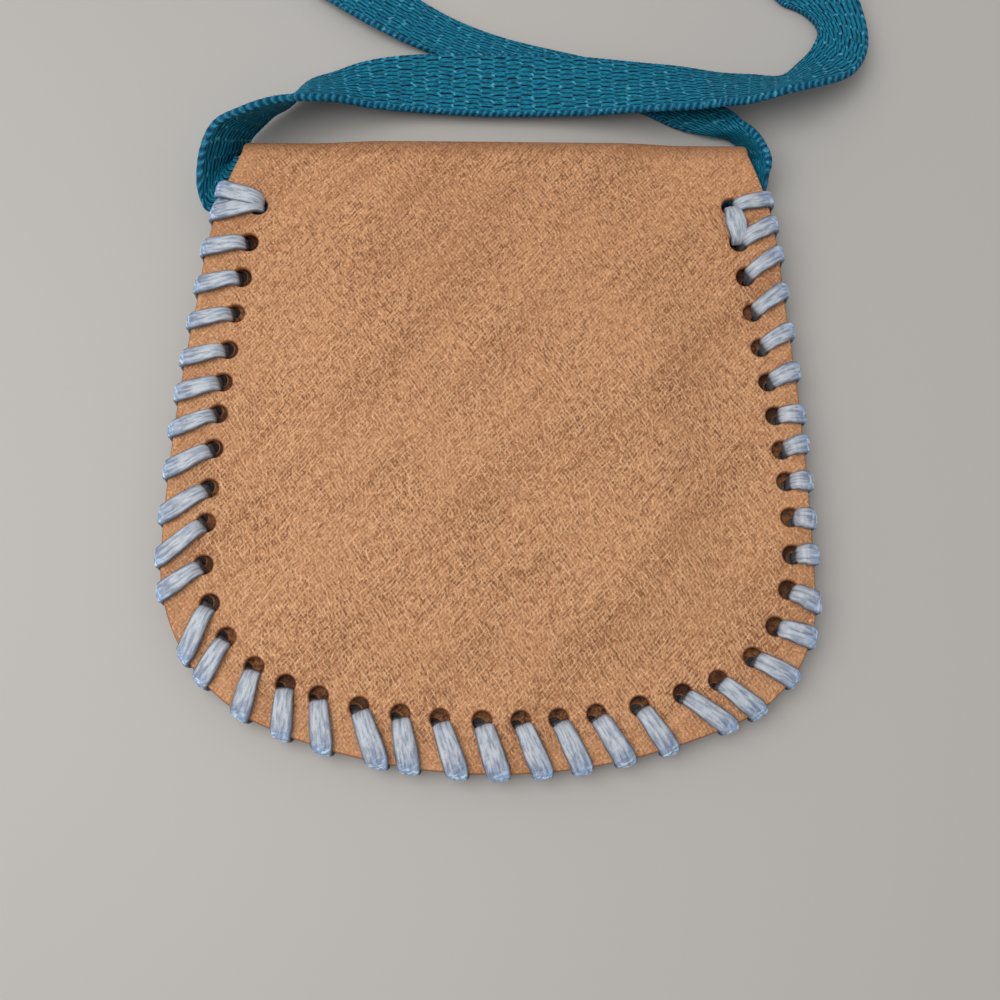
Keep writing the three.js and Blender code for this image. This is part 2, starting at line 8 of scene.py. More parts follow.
import bpy
import numpy as np
from mathutils import Matrix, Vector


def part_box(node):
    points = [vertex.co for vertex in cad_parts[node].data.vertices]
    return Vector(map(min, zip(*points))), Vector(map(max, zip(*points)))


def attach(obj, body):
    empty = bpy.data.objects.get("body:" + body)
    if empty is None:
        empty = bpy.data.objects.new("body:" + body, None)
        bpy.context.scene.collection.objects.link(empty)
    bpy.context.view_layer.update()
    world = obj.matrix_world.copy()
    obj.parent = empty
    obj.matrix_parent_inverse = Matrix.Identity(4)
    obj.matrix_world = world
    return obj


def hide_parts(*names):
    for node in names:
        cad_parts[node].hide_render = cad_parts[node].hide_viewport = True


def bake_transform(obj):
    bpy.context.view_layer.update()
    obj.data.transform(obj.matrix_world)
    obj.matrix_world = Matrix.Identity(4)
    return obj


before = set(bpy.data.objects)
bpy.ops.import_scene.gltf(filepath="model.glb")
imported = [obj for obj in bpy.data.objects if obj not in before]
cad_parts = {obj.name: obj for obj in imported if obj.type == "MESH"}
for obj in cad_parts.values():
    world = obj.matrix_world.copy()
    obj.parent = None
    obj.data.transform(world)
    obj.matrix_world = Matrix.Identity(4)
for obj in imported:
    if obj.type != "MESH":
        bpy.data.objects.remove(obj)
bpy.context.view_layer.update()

# %% [markdown]
# ## The cutting frame
# A leather worker measures from the fold. All shapes below are in millimetres from the
# middle of the fold, with y towards the fold and z up, and one function moves them into the
# model's own frame in metres. A short helper turns arrays into a mesh, so that every piece
# is only a matter of working out where its points are.

# %% Millimetres from the fold to metres in the frame
MM = 0.001
LEFT = {"fold": 57.1, "widest": 67.6, "drop": 90.6, "corner": 37.0, "pull": 2.5}
RIGHT = {"fold": 56.6, "widest": 64.8, "drop": 96.9, "corner": 26.8, "pull": 3.0}
back_low, back_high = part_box("back_panel")
FOLD_MIDDLE = np.array([back_low.x / MM + LEFT["widest"], back_high.y / MM, 0.0])


def to_frame(points):
    """Millimetres from the middle of the fold become metres in the model's frame."""
    return (np.asarray(points, float) + FOLD_MIDDLE) * MM


print("middle of the fold in millimetres:", np.round(FOLD_MIDDLE, 2))


# %% Arrays to a mesh
def make_piece(name, points, faces, flat=None, **marks):
    """A smooth-shaded mesh from points in millimetres and lists of corners. flat is a UV
    place for each point, and each mark is a number for each point that a finish can read."""
    mesh = bpy.data.meshes.new(name)
    mesh.from_pydata(to_frame(points).tolist(), [], faces)
    mesh.polygons.foreach_set("use_smooth", np.ones(len(mesh.polygons), bool))
    if flat is not None:
        corner = np.empty(len(mesh.loops), np.int32)
        mesh.loops.foreach_get("vertex_index", corner)
        layer = mesh.uv_layers.new(name="flat")
        layer.data.foreach_set("uv", np.asarray(flat, float)[corner].ravel())
    for mark, values in marks.items():
        spot = mesh.attributes.new(mark, "FLOAT", "POINT")
        spot.data.foreach_set("value", np.asarray(values, np.float32).ravel())
    piece = bpy.data.objects.new(name, mesh)
    bpy.context.collection.objects.link(piece)
    mesh.calc_loop_triangles()
    print(name, len(mesh.vertices), "points,", len(mesh.loop_triangles), "triangles")
    return piece


def ring_faces(rings, sides):
    """Quads between successive closed rings of points, with a face over each end."""
    ring, side = np.meshgrid(np.arange(rings - 1), np.arange(sides), indexing="ij")
    after = (side + 1) % sides
    quads = np.stack([ring * sides + side, ring * sides + after,
                      (ring + 1) * sides + after, (ring + 1) * sides + side], -1)
    last = (rings - 1) * sides
    caps = [list(range(sides))[::-1], list(range(last, last + sides))]
    return quads.reshape(-1, 4).tolist() + caps


# %% [markdown]
# ## The camera
# The purse is seen from above, a little from its rounded end, with the picture turned by
# less than half a degree. Building the camera's axes by hand from one tilt and one roll
# keeps them exact, and the lens is as long as 1.1 picture widths.

# %% Camera
TILT, ROLL = np.radians(13.0), np.radians(-0.431)
EYE = (1.1, -131.5, 226.2)
PICTURE_WIDTHS, NEAREST = 1.1, 0.01


def set_up(name, data, axes, place):
    """A camera or lamp at a place in millimetres, with its right, top and back ways given."""
    thing = bpy.data.objects.new(name, data)
    bpy.context.collection.objects.link(thing)
    stand = np.eye(4)
    stand[:3, :3] = np.stack(axes, -1)
    stand[:3, 3] = to_frame(place)
    thing.matrix_world = Matrix(stand.tolist())
    return thing


sight = np.array([0, np.sin(TILT), -np.cos(TILT)])
level = np.array([1.0, 0, 0])
downward = np.array([0, -np.cos(TILT), -np.sin(TILT)])
to_right = np.cos(ROLL) * level + np.sin(ROLL) * downward
to_top = np.sin(ROLL) * level - np.cos(ROLL) * downward
lens = bpy.data.cameras.new("camera")
lens.lens = lens.sensor_width * PICTURE_WIDTHS
lens.clip_start = NEAREST
bpy.context.scene.camera = set_up("camera", lens, [to_right, to_top, -sight], EYE)
print("camera at", EYE, "mm, lens", round(lens.lens, 1))

# %% [markdown]
# ## The strap's route
# The strap is a narrow woven webbing with both ends held in the seam. Its route is a row of
# chosen places, each with the direction in which the webbing is wide, so that it can roll
# on its edge at the corners and lie flat between them. A seventh number is half its width
# where it is gathered narrower. A cubic through the places moved to either side by half a
# width gives the two selvedges. The rest of the strap lies on edge in one round loop.

# %% Places on the strap
HALF_STRAP = 8.0
NEAR_RUN = [
    [-60.4, -9.9, 6.2, -.38, -.925, .02, 7.2], [-61.3, -6.6, 5.8, -.43, -.8, .4],
    [-60.8, -3.9, 6.1, -.46, -.62, .63], [-60, -1.4, 7.3, -.46, -.54, .71],
    [-58.2, 2, 8.4, -.35, -.39, .85], [-54.6, 5.1, 8.6, -.22, -.42, .88],
    [-51.6, 7.1, 8.6, -.12, -.46, .88], [-47.4, 9.4, 8.1, .01, -.5, .87],
    [-42.6, 12.5, 7.3, .11, -.69, .72], [-37, 14.6, 5.6, .2, -.78, .6],
    [-30.9, 16.1, 4.2, .2, -.9, .38], [-22.3, 17.3, 3.1, .1, -.98, .18],
    [-11, 17.4, 2.9, 0, -1, .05], [.4, 17.1, 3.1, 0, -1, 0], [11.8, 16.8, 3.5, 0, -1, .05],
    [23, 16, 4.5, 0, -.98, .17], [34.2, 14.9, 6.1, .02, -.94, .34],
    [43.3, 14.1, 7.1, .1, -.89, .44], [50.9, 13.9, 7, -.06, -.82, .57],
    [57.7, 14.4, 6.6, -.18, -.77, .62], [63.7, 15.2, 6.8, -.18, -.68, .71],
    [67.8, 17.3, 6.5, -.08, -.74, .67], [72, 20.1, 5.7, .06, -.82, .57],
    [75.4, 22.9, 4.9, .27, -.85, .46], [77.8, 26.4, 4, .45, -.82, .36],
    [78.4, 31.2, 3.2, .73, -.64, .24], [77, 36.4, 2.6, .93, -.3, .2],
    [74, 42.2, 2.6, .93, .25, .22], [69.4, 48.2, 2.8, .78, .58, .22],
    [61.5, 57.5, 3.8, .74, .56, .36], [55, 72, 7, .62, .2, .76], [51, 92, 8.7, .2, .02, .98],
    [49.6, 116, 8.9, 0, 0, 1]]
RETURN_RUN = [
    [-77.5, 70.4, 8.4, .15, .3, .94], [-61.5, 61.4, 7.2, .3, .55, .78, 7.8],
    [-46, 52, 4.9, .36, .8, .44, 7.6], [-31.6, 41.5, 2.8, .32, .92, -.1, 7.1],
    [-21.6, 35.1, 2.1, .37, .91, -.15, 6.3], [-13.8, 31.3, 1.3, .41, .91, -.03, 5.2],
    [-3.2, 27.1, 1.2, .3, .95, 0, 4.6], [7.3, 23.9, 1.2, .2, .98, 0, 4.6],
    [19.7, 20.6, 1.2, .2, .98, 0, 4.8], [29.5, 17.6, 1.2, .4, .91, .02, 4.6],
    [37.2, 14.6, 1.4, .7, .7, .08, 4.9], [45.6, 9.5, 2.6, .94, .23, .26, 6.3],
    [50.3, 6.1, 4.1, .8, 0, .59, 5.1], [54.6, 3.2, 5.3, .43, -.41, .81, 5.2],
    [56.8, -.5, 5.9, .33, -.45, .83, 5.1], [57.6, -3.5, 6.4, .4, -.54, .75, 4.3],
    [57.5, -5.7, 6.7, .48, -.79, .38, 3.1]]
LOOP_MIDDLE, LOOP_RADIUS, LOOP_HEIGHT = (-34.0, 140.8), 84.0, 8.3
LOOP_TURN, LOOP_PLACES = 225, 10
SEAM = {-1: (-57.8, -9.5, 6.15), 1: (57.2, -7.0, 6.15)}
HALF_TONGUE = {-1: 6.0, 1: 4.2}
TONGUE_REACH = np.array([15.5, 7.75, 0.0])
TONGUE_LEAN = (.366, .93)


def unit(vectors):
    """Vectors of length one."""
    return vectors / np.maximum(np.linalg.norm(vectors, axis=-1, keepdims=True), 1e-9)


def tongue(side):
    """The end held in the seam: three places from deep inside out to the edge, wide across."""
    out, down = TONGUE_LEAN
    across, along = np.array([side * out, -down, 0]), np.array([-side * down, -out, 0])
    places = SEAM[side] + TONGUE_REACH[:, None] * along
    return np.hstack([places, np.tile([*across, HALF_TONGUE[side]], (3, 1))])


def full_width(rows):
    """Places with half the webbing's width as a seventh number, where the row has none."""
    return np.array([[*row, HALF_STRAP][:7] for row in rows])


bend = np.radians(np.linspace(0, LOOP_TURN, LOOP_PLACES))
loop = np.zeros((LOOP_PLACES, 6))
loop[:, 0] = LOOP_MIDDLE[0] + LOOP_RADIUS * np.cos(bend)
loop[:, 1] = LOOP_MIDDLE[1] + LOOP_RADIUS * np.sin(bend)
loop[:, 2], loop[:, 5] = LOOP_HEIGHT, 1
route = np.vstack([tongue(-1), full_width(NEAR_RUN), full_width(loop), full_width(RETURN_RUN),
                   tongue(1)[::-1]])
half_width = route[:, 6:]
wide = unit(route[:, 3:6])
print(len(route), "places on the strap")


# %% A smooth curve through places
def knots_of(places):
    """Knots that grow with the square root of each step, which keeps a cubic from overshooting."""
    return np.append(0, np.cumsum(np.linalg.norm(np.diff(places, axis=0), axis=1) ** 0.5))


def spline(knots, values, at):
    """Natural cubic: the second derivatives solve one linear system, are nil at the ends,
    and each span is the straight line plus the cubic terms that they give."""
    step = np.diff(knots)
    inner = np.arange(1, len(knots) - 1)
    system = np.eye(len(knots))
    system[inner, inner - 1], system[inner, inner + 1] = step[:-1], step[1:]
    system[inner, inner] = 2 * (step[:-1] + step[1:])
    load = np.zeros_like(values)
    load[1:-1] = 6 * np.diff(np.diff(values, axis=0) / step[:, None], axis=0)
    curl = np.linalg.solve(system, load)
    span = np.clip(np.searchsorted(knots, at, side="right") - 1, 0, len(step) - 1)
    far = ((at - knots[span]) / step[span])[:, None]
    near = 1 - far
    lift = (near ** 3 - near) * curl[span] + (far ** 3 - far) * curl[span + 1]
    return near * values[span] + far * values[span + 1] + lift * (step[span] ** 2)[:, None] / 6


def walked(points):
    """Distance along a polyline to each of its points."""
    return np.append(0, np.cumsum(np.linalg.norm(np.diff(points, axis=0), axis=1)))


# %% [markdown]
# ## The strap's weave
# Close up, the webbing is a set of short plump floats of thin yarn that lie along the strap,
# each column half a yarn aside from the last, so that their ends mesh. A bump map would leave
# the outline flat, so the floats are real: the thickness of the strap is the higher of two
# sets of domes, on a grid fine enough to show each float. The selvedge is a round bead with
# slanting ribs. Yarns wander a little, and the flat pattern keeps that drift so that the finish
# can follow the same floats. The length out of sight gets fewer rows.

# %% Stations along the strap
FLOAT_LENGTH, YARN_PITCH = 3.05, 1.2
FINE_STEP = FLOAT_LENGTH / 6
SEEN_Y, COARSE = 50.0, 5
PATH_POINTS = 6000
strap_knots = knots_of(route[:, :3])
dense = np.linspace(0, strap_knots[-1], PATH_POINTS)
path = walked(spline(strap_knots, route[:, :3], dense))
strap_length = path[-1]
stops = np.arange(0, strap_length, FINE_STEP)
knot_at = np.interp(stops, path, dense)
middle_y = spline(strap_knots, route[:, :3], knot_at)[:, 1]
kept = (middle_y < SEEN_Y) | (np.arange(len(stops)) % COARSE == 0)
stops, knot_at = stops[kept], knot_at[kept]
selvedge = [spline(strap_knots, route[:, :3] + sign * wide * half_width, knot_at) for sign in (-1, 1)]
strap_middle = (selvedge[0] + selvedge[1]) / 2
strap_half = np.linalg.norm(selvedge[1] - selvedge[0], axis=1) / 2
strap_wide = unit(selvedge[1] - selvedge[0])
strap_along = unit(np.gradient(strap_middle, axis=0))
strap_up = unit(np.cross(strap_along, strap_wide))
print("strap", round(strap_length, 1), "mm long,", len(stops), "stations")

# %% Section of the strap
YARN_BED, YARN_LOFT = 0.38, 0.38
FLOAT_REACH, YARN_REACH = 2.1, 0.66
LUMP_LENGTH, LUMP_LEAN, LUMP_DEPTH = FLOAT_LENGTH / 2, 0.3, 0.06
DRIFT_WAVES, DRIFT_RATES, DRIFT_STARTS = (8, 1, 1), (0.35, 1.5), (0, 6.3)
DRIFT_ALONG, DRIFT_ACROSS = 0.22, 0.18
FACE_POINTS, SELVEDGE_POINTS = 48, 6
SELVEDGE = 0.95
FLAT_HALF = HALF_STRAP - SELVEDGE
YARN_SEED = 3
yarns = np.random.default_rng(YARN_SEED)


def drift(along, across):
    """A slow random drift in millimetres: crossing waves of random direction."""
    tilt = yarns.uniform(0, np.pi, DRIFT_WAVES)
    rate, start = yarns.uniform(*DRIFT_RATES, DRIFT_WAVES), yarns.uniform(*DRIFT_STARTS, DRIFT_WAVES)
    waves = np.sin(rate * (along * np.cos(tilt) + across * np.sin(tilt)) + start)
    return waves.sum(0) / len(waves) ** 0.5


def floats(along, across):
    """Height of the floats from 0 in a crease to 1 on a crown: the higher of two sets of
    long domes, the second a column on and half a yarn aside."""
    def domes(shift):
        """One set: the upper half of an ellipsoid over the middle of each float."""
        u = np.mod(along + (shift + 1) * FLOAT_LENGTH, 2 * FLOAT_LENGTH) - FLOAT_LENGTH
        v = np.mod(across + shift * YARN_PITCH / 2, YARN_PITCH) - YARN_PITCH / 2
        return np.sqrt(np.maximum(0, 1 - (u / FLOAT_REACH) ** 2 - (v / YARN_REACH) ** 2))
    return np.maximum(domes(0), domes(1))


reach = np.linspace(-FLAT_HALF, FLAT_HALF, FACE_POINTS)
turn = np.pi * (np.arange(SELVEDGE_POINTS) + 1) / (SELVEDGE_POINTS + 1)
grid_along, grid_across = np.meshgrid(stops, reach, indexing="ij")
flat_along = grid_along + DRIFT_ALONG * drift(grid_along, grid_across)
held = 1 - (grid_across / FLAT_HALF) ** 4
flat_across = grid_across + DRIFT_ACROSS * drift(grid_along, grid_across) * held
face_height = YARN_BED + YARN_LOFT * floats(flat_along, flat_across)
round_edge = SELVEDGE * (np.pi / 2 - np.abs(turn - np.pi / 2))[None, :] + 0 * stops[:, None]
edge_along = stops[:, None] + 0 * round_edge
lumps = np.cos(2 * np.pi * (edge_along / LUMP_LENGTH + LUMP_LEAN * round_edge))
bead = SELVEDGE * (1 + LUMP_DEPTH * lumps)
edge_out, edge_up = FLAT_HALF + bead * np.sin(turn), bead * np.cos(turn)
edge_across = FLAT_HALF + round_edge
across = np.hstack([grid_across, edge_out, grid_across[:, ::-1], -edge_out])
height = np.hstack([face_height, edge_up, -face_height[:, ::-1], -edge_up])
pattern_along = np.hstack([flat_along, edge_along, flat_along[:, ::-1], edge_along])
pattern_across = np.hstack([flat_across, edge_across, flat_across[:, ::-1], -edge_across])
strap_sides = across.shape[1]
print(strap_sides, "points round the strap, relief", YARN_LOFT, "mm")

# %% Strap
STRAP_UV = 100.0
across_here = across * (strap_half / HALF_STRAP)[:, None]
strap_points = (strap_middle[:, None] + across_here[..., None] * strap_wide[:, None]
                + height[..., None] * strap_up[:, None])
strap_points[..., 2] -= np.minimum(strap_points[..., 2].min(1), 0)[:, None]
strap_flat = np.stack([pattern_along, pattern_across], -1) / STRAP_UV
strap = make_piece("strap_webbing", strap_points.reshape(-1, 3), ring_faces(len(stops), strap_sides),
                   strap_flat.reshape(-1, 2))
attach(strap, "pouch")
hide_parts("strap")

# %% [markdown]
# ## The outline of the purse
# Back and front are cut to one outline: a long flaring arc down each side, a round corner and
# a shallow arc along the bottom. The two sides are not quite alike, as on anything cut by
# hand. The outline is a polyline of many short steps, read by its distance from the top left.
# The holes are punched along a line inside it, which lies higher at the bottom and drifts close
# to the edge at the right. Each hole strays a little from even spacing, and in the front panel
# the lace has dragged it towards the edge.

# %% The laced edge
PANEL_HEIGHT, BOTTOM_RADIUS = 135.5, 118.7
BOTTOM_Y = BOTTOM_RADIUS - PANEL_HEIGHT
PULL_DROP, PULL_POWER = 18.0, 1.5
ARC_POINTS, SEAM_POINTS = 400, 4001


def arc(x, y, radius, start, stop):
    """Points on a circle from one angle to another."""
    angle = np.linspace(start, stop, ARC_POINTS)
    return np.stack([x + radius * np.cos(angle), y + radius * np.sin(angle)], -1)


def side_arcs(side):
    """The flare's circle touches the widest point: its radius and middle. The corner's touches
    both of its neighbours: its middle, and the angle at which it meets the bottom."""
    flare = side["widest"] - side["fold"]
    radius = (flare ** 2 + side["drop"] ** 2) / (2 * flare)
    x = side["widest"] - side["corner"]
    y = BOTTOM_Y - np.sqrt((BOTTOM_RADIUS - side["corner"]) ** 2 - x ** 2)
    return radius, side["widest"] - radius, x, y, np.arctan2(y - BOTTOM_Y, x)


def panel_edge():
    """The open U of a panel's edge from its top left, round the bottom, to its top right."""
    l_radius, l_x, lc_x, lc_y, l_join = side_arcs(LEFT)
    r_radius, r_x, rc_x, rc_y, r_join = side_arcs(RIGHT)
    return np.concatenate([
        arc(-l_x, -LEFT["drop"], l_radius, np.pi - np.arcsin(LEFT["drop"] / l_radius), np.pi),
        arc(-lc_x, lc_y, LEFT["corner"], np.pi, np.pi - l_join),
        arc(0, BOTTOM_Y, BOTTOM_RADIUS, np.pi - l_join, 2 * np.pi + r_join),
        arc(rc_x, rc_y, RIGHT["corner"], 2 * np.pi + r_join, 2 * np.pi),
        arc(r_x, -RIGHT["drop"], r_radius, 0, np.arcsin(RIGHT["drop"] / r_radius))])


def read_at(at, far, values):
    """Values given at the distances far along a line, read at other distances."""
    return np.stack([np.interp(at, far, column) for column in values.T], -1)


def spaced(points, count):
    """Points at even distances along a polyline."""
    far = walked(points)
    return read_at(np.linspace(0, far[-1], count), far, points)


seam_edge = spaced(panel_edge(), SEAM_POINTS)
seam_length = walked(seam_edge)
seam_along = unit(np.gradient(seam_edge, axis=0))
seam_out = np.stack([seam_along[:, 1], -seam_along[:, 0]], -1)


def drawn_in(points):
    """The top corners are drawn in from the arcs, more and more towards the fold."""
    rise = np.maximum(0, 1 + points[..., 1] / PULL_DROP) ** PULL_POWER
    pull = np.where(points[..., 0] > 0, -RIGHT["pull"], LEFT["pull"]) * rise
    return points + np.stack([pull, 0 * pull], -1)


def on_seam(values, at):
    """A value of the laced edge at a distance from its top left."""
    return read_at(at, seam_length, values)


print("laced edge", round(seam_length[-1], 1), "mm")

# %% Punched holes
HOLE_DIAMETER, FIRST_HOLE_DROP, HOLES = 4.3, 15.8, 40
HOLE_INSET, BOTTOM_RISE, RIGHT_DRIFT = 8.8, 1.5, 4.6
BOTTOM_BELL, RIGHT_BELL = (.5, .1, .1), (.757, .05, .13)
DRAG, DRAG_BACK, DRAG_SEED = (1.0, 2.1), 0.8, 5
HOLE_STRAY = np.array([
    .5, 1.3, 1.2, 1.4, 1.8, 1.2, .3, 0, .6, 0, .8, 1, .8, 1.2, .6, -.3, .2, .6, .6, 1.1,
    .9, .5, .2, 1, 2.1, 1.8, 2.4, 2.3, 2.4, 1.8, 1.7, 1.4, .3, -.1, -.5, -.6, -.4, -.3, -.6, .3])


def bell(at, middle, below, above):
    """A bump of height one that falls off at one rate below its middle and another above."""
    t = at - middle
    return np.exp(-((t / np.where(t < 0, below, above)) ** 2))


def foot_of(points):
    """Distance along the laced edge to its place nearest to each point."""
    return seam_length[np.argmin(np.linalg.norm(seam_edge[None] - points[:, None], axis=2), axis=1)]


share = np.linspace(0, 1, len(seam_edge))
inset = HOLE_INSET + BOTTOM_RISE * bell(share, *BOTTOM_BELL) - RIGHT_DRIFT * bell(share, *RIGHT_BELL)
hole_line = seam_edge - seam_out * inset[:, None]
hole_line = hole_line[hole_line[:, 1] <= -FIRST_HOLE_DROP]
hole_path = walked(hole_line)
hole_at = np.clip(np.linspace(0, hole_path[-1], HOLES) + HOLE_STRAY, 0, hole_path[-1])
holes = read_at(hole_at, hole_path, hole_line)
hole_foot = foot_of(holes)
hole_drag = np.random.default_rng(DRAG_SEED).uniform(*DRAG, (HOLES, 1))
drag_way = unit(on_seam(seam_out, hole_foot) - DRAG_BACK * on_seam(seam_along, hole_foot))
dragged = holes + hole_drag * drag_way
print(HOLES, "holes, mean pitch", round(float(np.diff(hole_at).mean()), 2), "mm")

# %% [markdown]
# ## How high the leather lies
# The two panels are pinched together at the lacing and swell apart between it. Near the top
# corners the strap's ends lift the back, and past the end of the flap the purse settles on the
# table. A simulation could find this shape too, but leather that lies so flat is quicker to
# describe: it is a height over the plane, in a few smooth steps of the distance from the laced
# edge and of the distance from the fold.

# %% Heights of the panels
LEATHER = 1.6
FLAP_LENGTH = 92.0
PINCH_WIDTH, SWELL_WIDTH = 15.0, 17.0
FRONT_PINCHED, FRONT_SWOLLEN = 3.5, 1.9
BACK_PINCHED, BACK_SWOLLEN = 5.4, 8.4
SINK = 1.3
STRAP_LIFT, LIFT_FROM, LIFT_OVER = 1.8, -38.8, 14.0
BUCKLE, BUCKLE_START = 0.22, 1.0
BUCKLE_ONE, BUCKLE_TWO = (17, 29), (-41, 23)
EDGE_STRIDE, MIDDLE_Y = 20, -70.0
coarse_edge = seam_edge[::EDGE_STRIDE]


def ease(t):
    """A step from 0 to 1 that starts and ends level."""
    t = np.clip(t, 0, 1)
    return t * t * (3 - 2 * t)


def from_seam(x, y):
    """Distance from the laced edge."""
    return np.min([np.hypot(x - px, y - py) for px, py in coarse_edge], axis=0)


def swell(x, y):
    """0 near the lacing, rising to 1 in the middle of the purse."""
    return ease((from_seam(x, y) - PINCH_WIDTH) / SWELL_WIDTH)


def settle(y):
    """How far the purse sinks where the flap no longer holds it up."""
    return SINK * ease((-FLAP_LENGTH - y) / (PANEL_HEIGHT - FLAP_LENGTH))


def front_under(x, y):
    """Underside of the front panel."""
    s = swell(x, y)
    return FRONT_PINCHED * (1 - s) + FRONT_SWOLLEN * s - settle(y)


def back_top(x, y):
    """Upper face of the back: the pinched seam, the strap's lift and the swell of the middle,
    which buckles a little in two slow crossing waves."""
    s = swell(x, y)
    tabs = STRAP_LIFT * ease((y - LIFT_FROM) / LIFT_OVER)
    buckle = (BUCKLE * np.sin(x / BUCKLE_ONE[0] + y / BUCKLE_ONE[1] + BUCKLE_START)
              * np.sin(x / BUCKLE_TWO[0] + y / BUCKLE_TWO[1]))
    return (BACK_PINCHED + tabs) * (1 - s) + (BACK_SWOLLEN + buckle) * s + LEATHER - settle(y)


print("back at the middle", round(float(back_top(np.zeros(1), np.full(1, MIDDLE_Y))[0]), 2), "mm high")

# %% [markdown]
# ## Cutting leather
# A cut of leather is a flat pattern with two faces and a rounded edge. A Boolean could punch
# the holes, but it leaves thin triangles round them that shade badly, so the pattern is laid
# out in grids: round each hole a grid runs from the hole's rim to the border of its own cell,
# the cells stand side by side along the seam, and rungs fill the middle. Grids that share
# points are joined by their places. Every border that is left, outside and round the holes,
# gets an edge that bulges like a burnished cut.

# %% Grids along the seam
EDGE_ROUND = 0.45
BAND = 17.0
RINGS, RING_CROWDING = 7, 1.35


def hole_cells(borders, edge, inner, along_steps, across_steps, middles, diameter):
    """For each hole, rings from its rim to the border of its cell. A ring point lies on the
    straight line from the rim to the border at the same angle, closer together at the rim."""
    s = np.linspace(0, 1, along_steps + 1)
    t = np.linspace(0, 1, across_steps + 1)[None, :, None]
    at = borders[:-1, None] + (borders[1:] - borders[:-1])[:, None] * s
    outer_line, inner_line = edge(at), inner(at)
    first = outer_line[:, :1] + (inner_line[:, :1] - outer_line[:, :1]) * t
    last = outer_line[:, -1:] + (inner_line[:, -1:] - outer_line[:, -1:]) * t
    border = np.concatenate([outer_line, last[:, 1:], inner_line[:, -2::-1], first[:, -2::-1]], 1)
    rim = middles[:, None] + unit(border - middles[:, None]) * (diameter / 2 + EDGE_ROUND / 2)
    ring = np.linspace(0, 1, RINGS)[:, None, None, None] ** RING_CROWDING
    rings = rim + (border - rim) * ring
    return [rings[:, k] for k in range(len(middles))], inner_line


def panel_grids(top, along_steps, across_steps, middle_steps, middles, diameter):
    """The cells, the two plain ends above the first and last holes, and the rungs between the
    left and right inner lines. Returns the grids, each turned the same way, and the top row."""
    left_part = seam_edge[:, 0] < 0
    start = np.interp(-top, -seam_edge[left_part, 1], seam_length[left_part])
    right_part = seam_edge[:, 0] > 0
    stop = np.interp(top, seam_edge[right_part, 1], seam_length[right_part])
    halves = (hole_foot[:-1] + hole_foot[1:]) / 2
    borders = np.concatenate([[2 * hole_foot[0] - halves[0]], halves, [2 * hole_foot[-1] - halves[-1]]])

    def line(at, depth):
        """The laced edge moved inwards by a depth."""
        flat = at.ravel()
        return (on_seam(seam_edge, flat) - on_seam(seam_out, flat) * depth).reshape(at.shape + (2,))

    def edge(at):
        """The outer border of the pattern, drawn in at the top corners."""
        return drawn_in(line(at, EDGE_ROUND))

    def inner(at):
        """The inner border of the band of cells."""
        return line(at, BAND)

    cells, inner_lines = hole_cells(borders, edge, inner, along_steps, across_steps, middles, diameter)
    t = np.linspace(0, 1, across_steps + 1)[None, :, None]
    ends = []
    for first, last in ((start, borders[0]), (borders[-1], stop)):
        at = np.linspace(first, last, along_steps + 1)
        outer_line = edge(at)
        fixed = inner(at[[0, -1]])
        row = 0 if first == start else -1
        fixed[row] = [outer_line[row, 0] + np.sign(-outer_line[row, 0]) * BAND, top]
        outer_line[row, 1] = top
        inner_line = fixed[0] + (fixed[1] - fixed[0]) * np.linspace(0, 1, along_steps + 1)[:, None]
        ends.append(outer_line[:, None] + (inner_line - outer_line)[:, None] * t)
    half = len(holes) // 2
    down_left = np.concatenate([ends[0][:, -1], inner_lines[:half, 1:].reshape(-1, 2)])
    down_right = np.concatenate([ends[1][::-1, -1], inner_lines[:half - 1:-1, -2::-1].reshape(-1, 2)])
    s = np.linspace(0, 1, middle_steps + 1)[None, :, None]
    rungs = down_left[:, None] + (down_right - down_left)[:, None] * s
    top_row = np.concatenate([ends[0][0], rungs[0, 1:-1], ends[1][-1, ::-1]])
    return cells + ends + [rungs], top_row


# %% Grids joined into one cut
WELD, WELD_PHASE = 1e-3, 0.37


def weld(blocks):
    """Grids of (outer face, inner face, flat place) become one set of points, in which points of
    the outer face at one place are one point. Returns the points, the quads and the triangles
    that are left of quads with a side of no length."""
    outer, inner, flat = [np.concatenate([part.reshape(-1, part.shape[-1]) for part in parts])
                          for parts in zip(*blocks)]
    quads, base = [], 0
    for block in blocks:
        rows, columns = block[0].shape[:2]
        index = base + np.arange(rows * columns).reshape(rows, columns)
        corners = [index[:-1, :-1], index[1:, :-1], index[1:, 1:], index[:-1, 1:]]
        quads.append(np.stack(corners, -1).reshape(-1, 4))
        base += rows * columns
    keys = np.floor(outer / WELD + WELD_PHASE).astype(np.int64)
    _, first, joined = np.unique(keys, axis=0, return_index=True, return_inverse=True)
    quads = joined.ravel()[np.concatenate(quads)]
    pinched = quads[:, 1] == quads[:, 2]
    return outer[first], inner[first], flat[first], quads[~pinched], quads[pinched][:, [0, 1, 3]]


def open_sides(quads, tris, count):
    """Sides that belong to one face only, each as its two ends in the order of that face."""
    ways = np.concatenate([quads[:, [i, (i + 1) % 4]] for i in range(4)]
                          + [tris[:, [i, (i + 1) % 3]] for i in range(3)])
    shared = np.isin(ways[:, 0] * count + ways[:, 1], ways[:, 1] * count + ways[:, 0])
    return ways[~shared]


def outwards(outer, inner, ways):
    """The way out of the leather at a border: square to the border and to the thickness."""
    up = unit(outer - inner)
    push = np.cross(unit(outer[ways[:, 1]] - outer[ways[:, 0]]), up[ways[:, 0]])
    away = np.zeros_like(outer)
    np.add.at(away, ways[:, 0], push)
    np.add.at(away, ways[:, 1], push)
    return unit(away)


# %% A closed cut of leather
LEATHER_UV = 300.0
RIM_STEPS = 4
BORDER = 10.0


